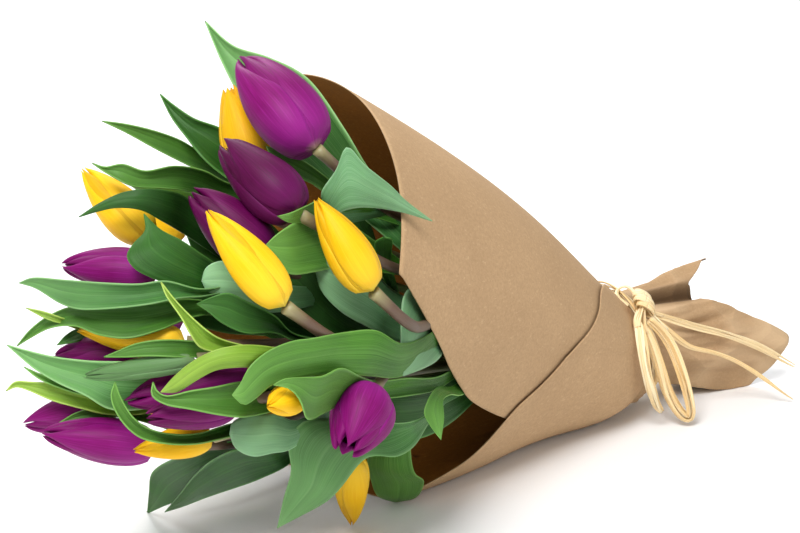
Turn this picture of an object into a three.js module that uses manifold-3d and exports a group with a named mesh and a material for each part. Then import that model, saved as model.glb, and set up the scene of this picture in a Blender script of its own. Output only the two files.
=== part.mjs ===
// A bouquet of purple and yellow tulips in a cone of brown kraft paper, tied with raffia, that lies on
// its side.
// Millimetres, +Z up. The flowers point towards -X, the twisted tail of the paper towards +X, and the side
// where the paper's edges cross faces -Y.

import * as THREE from 'three';
import { mergeVertices } from 'three/addons/utils/BufferGeometryUtils.js';
import Module from 'manifold-3d';

const wasm = await Module();
wasm.setup();

const { degToRad, lerp } = THREE.MathUtils;
const vec = (x, y, z) => new THREE.Vector3(x, y, z);

// ---------------------------------------------------------------- driving dimensions

const TIE_HEIGHT = 40; // centre of the tied neck above the surface
const CONE_TILT = degToRad(16); // the cone rises towards its mouth
const TAIL_TILT = degToRad(3); // the tail beyond the tie lies nearly level
const CONE_LENGTH = 250; // from the tie to the mouth
const MOUTH_RADIUS = 112;
const NECK_RADIUS = 23; // of the innermost layer of paper at the tie
const NECK_LEAN = 18; // how far the tie's top leans towards the flowers, and its bottom away from them
const PAPER_THICKNESS = 1; // kraft paper with its creases
const PAPER_PITCH = 1.9; // what one turn of the paper adds to its radius
const STEM_RADIUS = 2.7;
const STEM_PITCH = 7.2; // between the stems in the neck
const STEM_END = 45; // how far the cut ends reach beyond the tie
const BLADE_THICKNESS = 0.9;
const GAP = 0.35; // kept between pieces that lie against each other
const RAFFIA_RADIUS = 2.3; // of one bundle of fibres

// ---------------------------------------------------------------- the frame of the bouquet

const TIE = vec(0, 0, TIE_HEIGHT);
const AXIS = vec(-Math.cos(CONE_TILT), 0, Math.sin(CONE_TILT)); // from the tie to the mouth
const TAIL_AXIS = vec(Math.cos(TAIL_TILT), 0, -Math.sin(TAIL_TILT)); // from the tie to the tail
const OVER = vec(Math.sin(CONE_TILT), 0, Math.cos(CONE_TILT)); // across the cone, upwards
const NEAR = vec(0, -1, 0); // across the cone, towards the side that shows

// The point `along` mm from the tie (negative in the tail), `radius` mm off the axis.
// Angle 0 is the near side, 90 the top, 180 the far side and 270 the bottom.
function aroundCone([angle, along, radius]) {
  const turn = degToRad(angle);
  const tilt = along < 0 ? TAIL_TILT : CONE_TILT;
  const over = vec(Math.sin(tilt), 0, Math.cos(tilt));
  const axis = along < 0 ? TAIL_AXIS : AXIS;
  return TIE.clone()
    .addScaledVector(axis, Math.abs(along))
    .addScaledVector(NEAR, radius * Math.cos(turn))
    .addScaledVector(over, radius * Math.sin(turn));
}

// The photograph's point of view. A flower or leaf that shows in it is placed by the pixel where it shows
// and by how many mm nearer than the tie it is: [column, row, nearer].
const VIEW_AZIMUTH = degToRad(-34);
const VIEW_ELEVATION = degToRad(17.5);
const VIEW_DISTANCE = 1000;
const VIEW_FOCAL = 1700; // focal length, in pixels
const VIEW_CENTRE = [400, 266.5];
const VIEW_TIE = [622, 338]; // the pixel where the centre of the tie is
const TO_VIEWER = vec(
  Math.sin(VIEW_AZIMUTH) * Math.cos(VIEW_ELEVATION),
  -Math.cos(VIEW_AZIMUTH) * Math.cos(VIEW_ELEVATION),
  Math.sin(VIEW_ELEVATION),
);
const VIEW_RIGHT = vec(Math.cos(VIEW_AZIMUTH), Math.sin(VIEW_AZIMUTH), 0);
const VIEW_UP = TO_VIEWER.clone().cross(VIEW_RIGHT);

function inPhoto([column, row, nearer]) {
  const depth = VIEW_DISTANCE - nearer;
  const tieRight = (VIEW_TIE[0] - VIEW_CENTRE[0]) * VIEW_DISTANCE;
  const tieDown = (VIEW_TIE[1] - VIEW_CENTRE[1]) * VIEW_DISTANCE;
  const right = ((column - VIEW_CENTRE[0]) * depth - tieRight) / VIEW_FOCAL;
  const up = (tieDown - (row - VIEW_CENTRE[1]) * depth) / VIEW_FOCAL;
  return TIE.clone()
    .addScaledVector(TO_VIEWER, nearer)
    .addScaledVector(VIEW_RIGHT, right)
    .addScaledVector(VIEW_UP, up);
}

// ---------------------------------------------------------------- the flowers

const PURPLE = 0x8a2a86;
const YELLOW = 0xf5c21c;
const GREEN = 0x5f8f46;

// One tulip each: where its tip and the base of its bloom are, its width, how far its tips stand apart
// (0 shut, 1 wide) and the turn of its petals about the stem.
const TULIPS = [
  { name: 'purple_top', colour: PURPLE, tip: [238, 57, 214], base: [316, 148, 236], width: 34, spin: 20 },
  {
    name: 'yellow_top', colour: YELLOW, tip: [229, 85, 202], base: [256, 168, 204],
    width: 27, open: 0.4, spin: 50,
  },
  {
    name: 'purple_upper', colour: PURPLE, tip: [223, 142, 246], base: [298, 213, 262],
    width: 28, open: 0.3, spin: 80,
  },
  {
    name: 'purple_middle', colour: PURPLE, tip: [190, 190, 252], base: [268, 260, 248],
    width: 27, open: 0.2, spin: 10,
  },
  {
    name: 'yellow_middle', colour: YELLOW, tip: [206, 209, 284], base: [285, 306, 287],
    width: 21, spin: 30,
  },
  {
    name: 'yellow_right', colour: YELLOW, tip: [316, 198, 264], base: [373, 291, 264],
    width: 21, spin: 75,
  },
  { name: 'yellow_left', colour: YELLOW, tip: [82, 168, 238], base: [150, 240, 244], width: 21, spin: 0 },
  {
    name: 'purple_left', colour: PURPLE, tip: [62, 266, 256], base: [158, 272, 258],
    width: 20, spin: 40,
  },
  { name: 'purple_tip', colour: PURPLE, tip: [52, 356, 256], base: [140, 352, 256], width: 17, spin: 15 },
  {
    name: 'yellow_behind', colour: YELLOW, tip: [76, 330, 262], base: [185, 342, 272],
    width: 16, spin: 65,
  },
  {
    name: 'purple_low_left', colour: PURPLE, tip: [24, 424, 244], base: [118, 402, 246],
    width: 19, spin: 90,
  },
  {
    name: 'purple_bottom', colour: PURPLE, tip: [42, 433, 266], base: [157, 447, 258],
    width: 21, spin: 55,
  },
  {
    name: 'purple_front', colour: PURPLE, tip: [124, 402, 279], base: [250, 373, 263],
    width: 22, spin: 25,
  },
  {
    name: 'purple_frill', colour: PURPLE, tip: [146, 418, 294], base: [238, 402, 279],
    width: 18, open: 0.3, spin: 70,
  },
  {
    name: 'yellow_bottom', colour: YELLOW, tip: [133, 451, 276], base: [213, 436, 262],
    width: 15, spin: 5,
  },
  {
    name: 'yellow_small', colour: YELLOW, tip: [267, 406, 298], base: [303, 394, 275],
    width: 15, spin: 45,
  },
  {
    name: 'purple_facing', colour: PURPLE, tip: [345, 452, 272], base: [372, 392, 250],
    width: 30, open: 0.35, spin: 60,
  },
  {
    name: 'yellow_hanging', colour: YELLOW, tip: [352, 525, 146.5], base: [352, 456, 182],
    width: 18, spin: 35,
  },
  { name: 'green_bud', colour: GREEN, tip: [83, 376, 286], base: [196, 360, 286], width: 9.5, spin: 85 },
  // The four that the others hide, on the far side and below.
  {
    name: 'purple_far_top', colour: PURPLE, tip: [214, 186, 118], base: [262, 214, 100],
    width: 28, spin: 10,
  },
  { name: 'yellow_far', colour: YELLOW, tip: [122, 212, 112], base: [188, 228, 98], width: 24, spin: 50 },
  {
    name: 'purple_far_low', colour: PURPLE, tip: [108, 298, 106], base: [186, 316, 92],
    width: 28, spin: 80,
  },
  {
    name: 'yellow_under', colour: YELLOW, tip: [128, 412, 140], base: [200, 404, 122],
    width: 23, spin: 30,
  },
];

// ---------------------------------------------------------------- the leaves

// One leaf each: its tip, and its two edges from near the tip towards the stem, placed as the flowers are.
// `belly` is how far the middle stands out (or back) from the line between the edges, `wave` how far the
// edges ripple.
const LEAVES = [
  {
    name: 'crown', tip: [205, 21, 176], belly: -7, wave: 0.6,
    left: [[222, 62, 180], [240, 97, 184], [262, 130, 186], [300, 165, 190], [330, 190, 190]],
    right: [[232, 45, 180], [270, 58, 188], [307, 78, 194], [345, 130, 198], [366, 165, 198]],
  },
  {
    name: 'upper_left', tip: [160, 94, 190], belly: -4, wave: 0.8,
    left: [[172, 118, 195], [187, 138, 200], [203, 158, 204], [224, 176, 204]],
    right: [[175, 106, 195], [195, 119, 197], [218, 127, 195], [245, 140, 190]],
  },
  {
    name: 'thin_left', tip: [102, 121, 200], belly: -2, wave: 0.6,
    left: [[125, 132, 199], [158, 150, 196], [190, 166, 190], [206, 173, 186]],
    right: [[125, 124, 199], [155, 131, 195], [180, 140, 188], [200, 152, 182]],
  },
  {
    name: 'wavy_left', tip: [92, 163, 255], belly: -3, wave: 1.5,
    left: [[105, 172, 257], [132, 186, 258], [160, 188, 252], [190, 192, 238], [215, 202, 226]],
    right: [
      [105, 167, 257], [122, 164, 258], [145, 171, 254], [175, 166, 246], [205, 171, 232],
      [226, 182, 222],
    ],
  },
  {
    name: 'arched_left', tip: [79, 217, 260], belly: 3, wave: 0.6,
    left: [[97, 212, 263], [118, 208, 265], [140, 210, 264], [160, 220, 256], [190, 238, 236]],
    right: [[100, 203, 263], [122, 193, 264], [145, 189, 263], [165, 190, 256], [190, 200, 236]],
  },
  {
    name: 'folded_left', tip: [144, 214, 272], belly: 3, wave: 0.5,
    left: [
      [145, 231, 274], [133, 244, 275], [127, 256, 275], [134, 268, 276], [152, 278, 276],
      [176, 286, 272], [205, 292, 264],
    ],
    right: [[160, 229, 272], [183, 241, 270], [205, 256, 262], [226, 268, 252]],
  },
  {
    name: 'long_left', tip: [19, 283, 262], belly: -3, wave: 0.8,
    left: [
      [35, 288, 266], [60, 303, 272], [80, 309, 279], [115, 308, 284], [150, 304, 284], [180, 298, 279],
      [205, 296, 272],
    ],
    right: [
      [32, 278, 266], [65, 280, 272], [105, 283, 280], [140, 284, 283], [165, 281, 281], [205, 289, 272],
    ],
  },
  {
    name: 'broad_left', tip: [17, 346, 258], belly: -3, wave: 0.8,
    left: [
      [30, 338, 262], [50, 328, 267], [75, 326, 275], [100, 335, 281], [130, 338, 282], [160, 330, 280],
      [185, 320, 272], [210, 315, 264],
    ],
    right: [
      [30, 330, 262], [50, 315, 265], [75, 306, 270], [110, 305, 275], [150, 303, 275], [200, 300, 264],
    ],
  },
  {
    name: 'sliver_left', tip: [26, 308, 266], belly: -1, wave: 0.3,
    left: [[45, 318, 270], [63, 324, 268], [80, 330, 256], [104, 341, 236]],
    right: [[45, 312, 270], [65, 319, 268], [82, 325, 256], [104, 335, 236]],
  },
  {
    name: 'dark_sliver', tip: [57, 345, 266], belly: -1, wave: 0.3,
    left: [[75, 342, 262], [92, 337, 250], [108, 340, 236]],
    right: [[66, 335, 262], [80, 328, 252], [104, 331, 238]],
  },
  {
    name: 'low_left', tip: [7, 345, 264], belly: -4, wave: 0.6,
    left: [
      [16, 353, 265], [35, 369, 267], [57, 382, 269], [85, 395, 271], [110, 409, 271], [150, 408, 264],
      [180, 400, 258],
    ],
    right: [[25, 350, 266], [55, 357, 269], [90, 361, 272], [135, 362, 272], [175, 366, 264]],
  },
  {
    name: 'curled_left', tip: [6, 391, 256], belly: -2, wave: 0.5,
    left: [
      [16, 387, 258], [28, 390, 260], [52, 400, 261], [80, 408, 261], [107, 414, 259], [140, 414, 254],
    ],
    right: [[15, 382, 258], [30, 382, 260], [60, 384, 260], [85, 388, 260], [115, 396, 256]],
  },
  {
    name: 'spike_left', tip: [24, 367, 262], belly: -1, wave: 0.3,
    left: [[38, 378, 264], [58, 387, 264], [90, 396, 263]],
    right: [[40, 374, 264], [60, 380, 264], [90, 385, 263]],
  },
  {
    name: 'middle_left', tip: [104, 357, 286], belly: -2, wave: 0.5,
    left: [[125, 357, 289], [150, 356, 291], [180, 357, 289], [205, 357, 282], [230, 357, 274]],
    right: [[118, 351, 287], [135, 344, 288], [160, 340, 288], [192, 341, 283], [225, 345, 274]],
  },
  {
    name: 'yellow_green', tip: [161, 282, 292], belly: -3, wave: 0.4,
    left: [
      [166, 295, 294], [181, 317, 297], [191, 335, 298], [200, 347, 297], [216, 352, 294],
      [245, 353, 284], [262, 357, 276],
    ],
    right: [[176, 301, 294], [196, 321, 296], [217, 337, 294], [242, 345, 287], [262, 349, 278]],
  },
  {
    name: 'dark_middle', tip: [196, 304, 272], belly: -2, wave: 0.6,
    left: [[207, 311, 273], [222, 323, 273], [245, 333, 271], [275, 333, 266], [298, 342, 260]],
    right: [[212, 297, 272], [228, 293, 271], [250, 303, 270], [275, 316, 267], [295, 334, 261]],
  },
  {
    name: 'light_arch', tip: [161, 392, 295], belly: 4, wave: 0.4,
    left: [
      [177, 392, 298], [197, 380, 301], [216, 370, 302], [240, 367, 299], [262, 368, 290],
      [292, 370, 276],
    ],
    right: [
      [173, 378, 298], [192, 362, 301], [216, 350, 302], [242, 345, 299], [274, 347, 288],
      [298, 353, 276],
    ],
  },
  {
    name: 'hooked', tip: [153, 382, 301], belly: -4, wave: 0.5,
    left: [
      [152, 395, 303], [165, 404, 304], [190, 409, 304], [216, 414, 301], [240, 417, 294],
      [262, 414, 276], [285, 408, 264],
    ],
    right: [
      [157, 391, 302], [166, 396, 302], [190, 391, 301], [215, 387, 298], [240, 382, 290],
      [272, 384, 270],
    ],
  },
  {
    name: 'sickle', tip: [115, 382, 292], belly: -3, wave: 0.3,
    left: [
      [111, 396, 293], [119, 417, 293], [138, 436, 290], [163, 443, 285], [195, 444, 279],
      [232, 436, 270],
    ],
    right: [
      [121, 398, 293], [133, 417, 292], [150, 429, 287], [172, 434, 281], [200, 433, 273],
      [230, 424, 266],
    ],
  },
  {
    name: 'front_middle', tip: [232, 395, 301], belly: 3, wave: 1.2,
    left: [
      [244, 405, 300], [256, 398, 298], [272, 385, 293], [300, 378, 285], [335, 373, 272],
      [370, 376, 255], [402, 376, 236],
    ],
    right: [
      [240, 384, 301], [250, 366, 300], [268, 351, 296], [292, 341, 290], [312, 338, 284],
      [345, 332, 270], [375, 330, 259], [402, 343, 242],
    ],
  },
  {
    name: 'front_fold', tip: [273, 385, 298], belly: -3, wave: 0.8,
    left: [
      [290, 389, 298], [300, 400, 298], [307, 419, 293], [322, 414, 279], [338, 406, 256],
      [356, 402, 234], [405, 396, 215], [440, 388, 190],
    ],
    right: [
      [284, 379, 298], [305, 377, 293], [322, 376, 287], [341, 368, 277], [360, 376, 262],
      [375, 381, 247], [405, 378, 222], [440, 376, 195],
    ],
  },
  {
    name: 'great_front', tip: [277, 528, 228], belly: 3, wave: 1.2,
    left: [
      [284, 497, 240], [291, 470, 250], [289, 443, 257], [300, 424, 258], [332, 418, 242],
      [372, 420, 226], [400, 423, 218], [424, 416, 204], [436, 396, 188], [455, 386, 164],
    ],
    right: [
      [328, 500, 232], [341, 487, 238], [366, 458, 234], [398, 456, 222], [414, 446, 212],
      [428, 424, 198], [442, 406, 184], [460, 395, 160],
    ],
  },
  {
    name: 'turned_down', tip: [395, 502, 119.6], belly: 5, wave: 0.4,
    left: [[378, 496, 130], [371, 480, 142], [367, 462, 154], [374, 445, 162]],
    right: [[416, 497, 126], [424, 482, 132], [415, 473, 146], [411, 455, 158], [412, 440, 164]],
  },
  {
    name: 'pale_edge', tip: [403, 376, 236], belly: 5, wave: 0.4,
    left: [[401, 350, 238], [401, 320, 236], [404, 296, 226], [420, 288, 200]],
    right: [[424, 368, 220], [436, 361, 206], [446, 346, 184], [450, 328, 168]],
  },
  {
    name: 'rounded_blue', tip: [316, 270, 246], belly: 4, wave: 0.4,
    left: [[321, 290, 246], [340, 311, 244], [368, 327, 236], [400, 342, 218]],
    right: [[322, 255, 246], [340, 250, 242], [365, 262, 232], [393, 290, 212]],
  },
  {
    name: 'behind_right', tip: [384, 237, 240], belly: -2, wave: 0.4,
    left: [[375, 243, 232], [378, 265, 222], [388, 290, 206], [396, 318, 184]],
    right: [[392, 240, 232], [391, 262, 220], [400, 298, 200], [402, 324, 178]],
  },
  {
    name: 'flag', tip: [432, 221, 226], belly: 3, wave: 0.6,
    left: [[400, 212, 234], [375, 208, 241], [357, 208, 247], [340, 213, 248], [332, 224, 242]],
    right: [
      [405, 200, 234], [391, 186, 240], [365, 165, 248], [347, 147, 250], [336, 170, 250],
      [321, 196, 248],
    ],
  },
  {
    name: 'curl_end', tip: [277, 216, 274], belly: 1, wave: 0.3,
    left: [[287, 222, 272], [303, 222, 260], [325, 214, 246]],
    right: [[290, 213, 273], [306, 206, 262], [322, 200, 248]],
  },
  {
    name: 'bright_middle', tip: [266, 245, 267], belly: -2, wave: 0.5,
    left: [[272, 262, 267], [290, 274, 264], [315, 272, 254], [338, 268, 242]],
    right: [[275, 236, 266], [292, 224, 262], [312, 216, 252], [335, 216, 240]],
  },
  {
    name: 'narrow_top', tip: [266, 146, 224], belly: -1, wave: 0.3,
    left: [[272, 158, 224], [290, 173, 222], [318, 187, 214], [340, 204, 204]],
    right: [[280, 150, 224], [302, 160, 222], [326, 177, 214], [345, 194, 204]],
  },
  {
    name: 'low_dark', tip: [147, 514, 131], belly: -3, wave: 0.5,
    left: [[162, 507, 146], [187, 497, 168], [210, 482, 196], [235, 464, 222], [258, 452, 236]],
    right: [[149, 492, 152], [152, 473, 168], [180, 456, 202], [205, 447, 226], [232, 441, 242]],
  },
  {
    name: 'low_front', tip: [165, 512, 148], belly: -3, wave: 0.5,
    left: [[182, 507, 168], [205, 498, 197], [235, 488, 225], [262, 478, 240], [288, 465, 242]],
    right: [[180, 494, 180], [196, 474, 212], [216, 458, 238], [240, 449, 253], [268, 451, 254]],
  },
  {
    name: 'rounded_low', tip: [230, 434, 277], belly: 5, wave: 0.3,
    left: [[236, 448, 277], [252, 456, 276], [272, 453, 270], [292, 448, 258]],
    right: [[233, 422, 277], [250, 415, 276], [275, 414, 268], [296, 420, 256]],
  },
  {
    name: 'rounded_pale', tip: [202, 281, 268], belly: 3, wave: 0.3,
    left: [[209, 294, 268], [222, 300, 266], [244, 302, 262], [268, 312, 256]],
    right: [[206, 268, 268], [220, 261, 266], [242, 266, 262], [264, 280, 256]],
  },
  {
    name: 'small_left', tip: [59, 423, 256], belly: -1, wave: 0.3,
    left: [[80, 421, 257], [100, 419, 256], [122, 417, 252]],
    right: [[76, 413, 257], [96, 408, 256], [120, 407, 252]],
  },
  {
    name: 'pointing_down', tip: [441, 440, 216], belly: 1, wave: 0.4,
    left: [[431, 427, 215], [424, 413, 215], [428, 400, 212], [436, 388, 202], [452, 386, 178]],
    right: [[444, 418, 212], [443, 401, 207], [450, 395, 196], [464, 394, 172]],
  },
  {
    name: 'inner_dark', tip: [286, 276, 240], belly: -2, wave: 0.5,
    left: [[292, 300, 240], [310, 326, 236], [342, 340, 224]],
    right: [[302, 264, 240], [330, 288, 234], [356, 318, 222]],
  },
  // Inside the fan and on its far side and underside, where the others hide them.
  {
    name: 'inner_left', tip: [182, 224, 226], belly: -3, wave: 0.5,
    left: [[200, 262, 226], [235, 286, 220], [272, 302, 208]],
    right: [[216, 222, 226], [250, 240, 220], [286, 264, 210]],
  },
  {
    name: 'inner_middle', tip: [148, 292, 238], belly: -3, wave: 0.5,
    left: [[180, 318, 240], [222, 332, 234], [272, 336, 220]],
    right: [[186, 280, 240], [232, 286, 234], [282, 300, 220]],
  },
  {
    name: 'inner_right', tip: [345, 402, 205], belly: -3, wave: 0.5,
    left: [[376, 436, 200], [412, 440, 186], [452, 422, 158]],
    right: [[380, 386, 203], [418, 382, 186], [458, 376, 158]],
  },
  {
    name: 'far_crown', tip: [264, 112, 140], belly: 3, wave: 0.6,
    left: [[286, 150, 130], [310, 182, 118], [336, 202, 106]],
    right: [[298, 110, 134], [326, 140, 122], [350, 172, 108]],
  },
  {
    name: 'far_upper', tip: [120, 178, 112], belly: 3, wave: 0.6,
    left: [[150, 198, 102], [192, 216, 92], [232, 226, 84]],
    right: [[152, 178, 112], [194, 184, 108], [236, 196, 98]],
  },
  {
    name: 'far_side', tip: [98, 290, 92], belly: 3, wave: 0.6,
    left: [[130, 304, 84], [172, 312, 76], [216, 316, 70]],
    right: [[130, 283, 92], [172, 284, 84], [216, 286, 76]],
  },
  {
    name: 'far_lower', tip: [112, 376, 122], belly: 3, wave: 0.6,
    left: [[142, 397, 112], [182, 410, 100], [226, 414, 90]],
    right: [[142, 372, 122], [182, 374, 112], [226, 376, 100]],
  },
  {
    name: 'underside', tip: [166, 482, 152], belly: -3, wave: 0.6,
    left: [[198, 492, 142], [236, 482, 128], [272, 466, 112]],
    right: [[198, 462, 152], [236, 454, 140], [272, 440, 122]],
  },
];

// ---------------------------------------------------------------- surfaces and solids

// A closed geometry round the surface at(u, v), u and v from 0 to 1. Both faces are split alike.
function sheetGeometry(at, columns, rows, thickness) {
  const positions = [];
  const indices = [];
  const nudge = 1e-3;
  const index = (side, i, j) => side * (columns + 1) * (rows + 1) + j * (columns + 1) + i;
  for (const side of [1, -1]) {
    for (let j = 0; j <= rows; j += 1) {
      for (let i = 0; i <= columns; i += 1) {
        const u = i / columns;
        const v = j / rows;
        const across = at(Math.min(u + nudge, 1), v).sub(at(Math.max(u - nudge, 0), v));
        const along = at(u, Math.min(v + nudge, 1)).sub(at(u, Math.max(v - nudge, 0)));
        const normal = across.cross(along).normalize();
        positions.push(...at(u, v).addScaledVector(normal, (side * thickness) / 2));
      }
    }
  }
  for (let j = 0; j < rows; j += 1) {
    for (let i = 0; i < columns; i += 1) {
      const front = [index(0, i, j), index(0, i + 1, j), index(0, i + 1, j + 1), index(0, i, j + 1)];
      const back = [index(1, i, j), index(1, i + 1, j), index(1, i + 1, j + 1), index(1, i, j + 1)];
      indices.push(front[0], front[1], front[2], front[0], front[2], front[3]);
      indices.push(back[0], back[2], back[1], back[0], back[3], back[2]);
    }
  }
  const rim = [];
  for (let i = 0; i < columns; i += 1) rim.push([i, 0]);
  for (let j = 0; j < rows; j += 1) rim.push([columns, j]);
  for (let i = columns; i > 0; i -= 1) rim.push([i, rows]);
  for (let j = rows; j > 0; j -= 1) rim.push([0, j]);
  rim.forEach(([i, j], k) => {
    const [nextI, nextJ] = rim[(k + 1) % rim.length];
    indices.push(index(0, i, j), index(1, i, j), index(1, nextI, nextJ));
    indices.push(index(0, i, j), index(1, nextI, nextJ), index(0, nextI, nextJ));
  });
  const geometry = new THREE.BufferGeometry();
  geometry.setAttribute('position', new THREE.Float32BufferAttribute(positions, 3));
  geometry.setIndex(indices);
  return geometry;
}

// A closed pod round an axis: at(turn, t) with turn from 0 to 1 round it and t from 0 to 1 along it.
function podGeometry(at, columns, rows) {
  const positions = [...at(0, 0), ...at(0, 1)];
  const indices = [];
  const index = (i, j) => 2 + (j - 1) * columns + (i % columns);
  for (let j = 1; j < rows; j += 1) {
    for (let i = 0; i < columns; i += 1) positions.push(...at(i / columns, j / rows));
  }
  for (let i = 0; i < columns; i += 1) {
    indices.push(0, index(i, 1), index(i + 1, 1));
    indices.push(1, index(i + 1, rows - 1), index(i, rows - 1));
    for (let j = 1; j < rows - 1; j += 1) {
      indices.push(index(i, j), index(i, j + 1), index(i + 1, j + 1));
      indices.push(index(i, j), index(i + 1, j + 1), index(i + 1, j));
    }
  }
  const geometry = new THREE.BufferGeometry();
  geometry.setAttribute('position', new THREE.Float32BufferAttribute(positions, 3));
  geometry.setIndex(indices);
  return geometry;
}

// A tube along a curve, with closed ends.
function tubeGeometry(curve, radius, sides, steps) {
  const corners = [];
  for (let k = 0; k < sides; k += 1) {
    const turn = (2 * Math.PI * k) / sides;
    corners.push(new THREE.Vector2(radius * Math.cos(turn), radius * Math.sin(turn)));
  }
  const shape = new THREE.Shape(corners);
  return new THREE.ExtrudeGeometry(shape, { extrudePath: curve, steps, bevelEnabled: false });
}

function toSolid(geometry) {
  const bare = geometry.clone();
  bare.deleteAttribute('normal');
  bare.deleteAttribute('uv');
  const merged = mergeVertices(bare, 1e-4);
  const corners = merged.index.array;
  const kept = [];
  for (let k = 0; k < corners.length; k += 3) {
    const [a, b, c] = [corners[k], corners[k + 1], corners[k + 2]];
    if (a !== b && b !== c && c !== a) kept.push([a, b, c]);
  }
  const build = (triangles) => new wasm.Manifold(new wasm.Mesh({
    numProp: 3,
    vertProperties: new Float32Array(merged.attributes.position.array),
    triVerts: new Uint32Array(triangles.flat()),
  }));
  const solid = build(kept);
  return solid.volume() > 0 ? solid : build(kept.map(([a, b, c]) => [a, c, b]));
}

function toMesh(name, solid, material) {
  const { vertProperties, triVerts } = solid.getMesh();
  const geometry = new THREE.BufferGeometry();
  geometry.setAttribute('position', new THREE.Float32BufferAttribute(vertProperties, 3));
  geometry.setIndex(new THREE.Uint32BufferAttribute(triVerts, 1));
  geometry.computeVertexNormals();
  const mesh = new THREE.Mesh(geometry, material);
  mesh.name = name;
  return mesh;
}

function boxesMeet(one, other) {
  const a = one.boundingBox();
  const b = other.boundingBox();
  return [0, 1, 2].every((k) => a.min[k] <= b.max[k] && b.min[k] <= a.max[k]);
}

// What has to be cut away round a piece so that its neighbour keeps the gap to it.
const withGap = (make) => make(GAP).add(make(0));

// What is left of a solid, in its largest piece, clear of the others.
function cutClear(solid, others) {
  let left = solid;
  for (const other of others) {
    if (boxesMeet(left, other)) left = left.subtract(other);
  }
  return largestPiece(left);
}

function largestPiece(solid) {
  return solid.decompose().reduce((best, piece) => (piece.volume() > best.volume() ? piece : best));
}

// Reads a short table of [place, value] pairs with straight lines between them.
function fromTable(table, place) {
  if (place <= table[0][0]) return table[0][1];
  for (let k = 1; k < table.length; k += 1) {
    const [start, from] = table[k - 1];
    const [end, to] = table[k];
    if (place <= end) return lerp(from, to, (place - start) / (end - start));
  }
  return table[table.length - 1][1];
}

// ---------------------------------------------------------------- the paper

// One sheet, rolled from its inner edge over the top, the far side and the bottom to its outer edge, which
// crosses the inner one on the near side. Angles of both edges by distance from the tie:
const INNER_EDGE = [
  [-110, -110], [0, -76], [60, -54], [100, -42], [132, -28], [150, -22], [174, -14], [195, -4], [212, 5],
  [232, 14], [251, 22],
];
const OUTER_EDGE = [
  [-110, 118], [-60, 110], [0, 84], [30, 60], [54, 42], [67, 24], [78, 14], [90, 6], [101, -4], [113, -13],
  [131, -24], [142, -44], [166, -57], [250, -100],
];
// Distance of the mouth's rim from the tie, and of the tail's end, from the inner edge (0) to the
// outer (1).
const RIM = [[0, 251], [0.1, 245], [0.24, 241], [0.4, 249], [0.6, 240], [0.75, 222], [0.9, 186], [1, 166]];
const TAIL_END = [
  [0, 70], [0.1, 74], [0.24, 62], [0.34, 56], [0.4, 60], [0.5, 84], [0.6, 74], [0.67, 70], [0.7, 76],
  [0.745, 97], [0.785, 107], [0.852, 77], [0.893, 60], [0.93, 55], [0.955, 56], [1, 84],
];
// The folds of the tail: the angle and radius of each corner at its end. The paper is flat between them.
const TAIL_FOLDS = [
  [-90, 38], [-58, 46], [-15, 31], [24, 25], [48, 28], [60, 26], [71, 23], [82, 28], [104, 37], [116, 36],
  [150, 30], [190, 36], [225, 35], [270, 38],
];
const TAIL_REACH = 85; // the folds have their full radius at this distance
const TIE_ROW = 0.34; // where the tie is, between the tail's end (0) and the mouth (1)
const LEAN_REACH = 75; // beyond this distance the paper hardly follows the tie's lean
const FLAT_BAND = 2; // the paper rounds into the surface it lies on over this height

const wrapAngle = (angle) => ((((angle + 90) % 360) + 360) % 360) - 90;
const bump = (x) => (x * Math.exp(1 - x)) ** 2; // rises from 0 to 1 at x = 1, and dies away

// Radius at an angle of a loop of flat folds from corner to corner.
function folded(corners, angle) {
  const k = Math.min(corners.findIndex(([turn], i) => i > 0 && angle <= turn), corners.length - 1);
  const [[from, low], [to, high]] = [corners[k - 1], corners[k]];
  const [before, after] = [degToRad(angle - from), degToRad(to - angle)];
  return (low * high * Math.sin(degToRad(to - from))) / (low * Math.sin(before) + high * Math.sin(after));
}

function tailRadius(around, along) {
  const slack = Math.min(-along / TAIL_REACH, 1.2);
  const drop = Math.max(-Math.sin(degToRad(around)), 0) ** 2; // the underside falls to the surface at once
  const opened = slack ** (1.2 - 0.7 * drop);
  return NECK_RADIUS + (folded(TAIL_FOLDS, around) - NECK_RADIUS) * opened;
}

function paperRadius(angle, along) {
  const around = wrapAngle(angle);
  const pleats = Math.sin(degToRad(9 * around));
  if (along < 0) return tailRadius(around, along) + pleats * 0.5 * Math.exp(along / 40);
  const cone = lerp(NECK_RADIUS, MOUTH_RADIUS, along / CONE_LENGTH);
  const shoulder = 11 * bump(along / 34) * Math.exp(-(((around + 50) / 60) ** 2));
  const belly = 8 * Math.exp(-(((around + 74) / 34) ** 2)) * Math.exp(-(((along - 135) / 60) ** 2));
  const top = Math.max(Math.sin(degToRad(around)), 0) ** 0.7;
  const share = along / CONE_LENGTH;
  const crown = (6 * Math.sin(Math.PI * Math.min(share, 1)) + 4 * share) * top;
  const sag = 9 * Math.max(-Math.sin(degToRad(around)), 0) ** 3 * Math.min(along / 110, 1);
  return cone + shoulder + belly + crown + sag + pleats * 0.5 * Math.exp(-along / 40);
}

// Height above the surface, flattened where the paper would sink into it.
function settled(height) {
  const floor = PAPER_THICKNESS / 2;
  const above = height - floor;
  if (above <= -FLAT_BAND) return floor;
  if (above >= FLAT_BAND) return height;
  return floor + (above + FLAT_BAND) ** 2 / (4 * FLAT_BAND);
}

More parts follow.
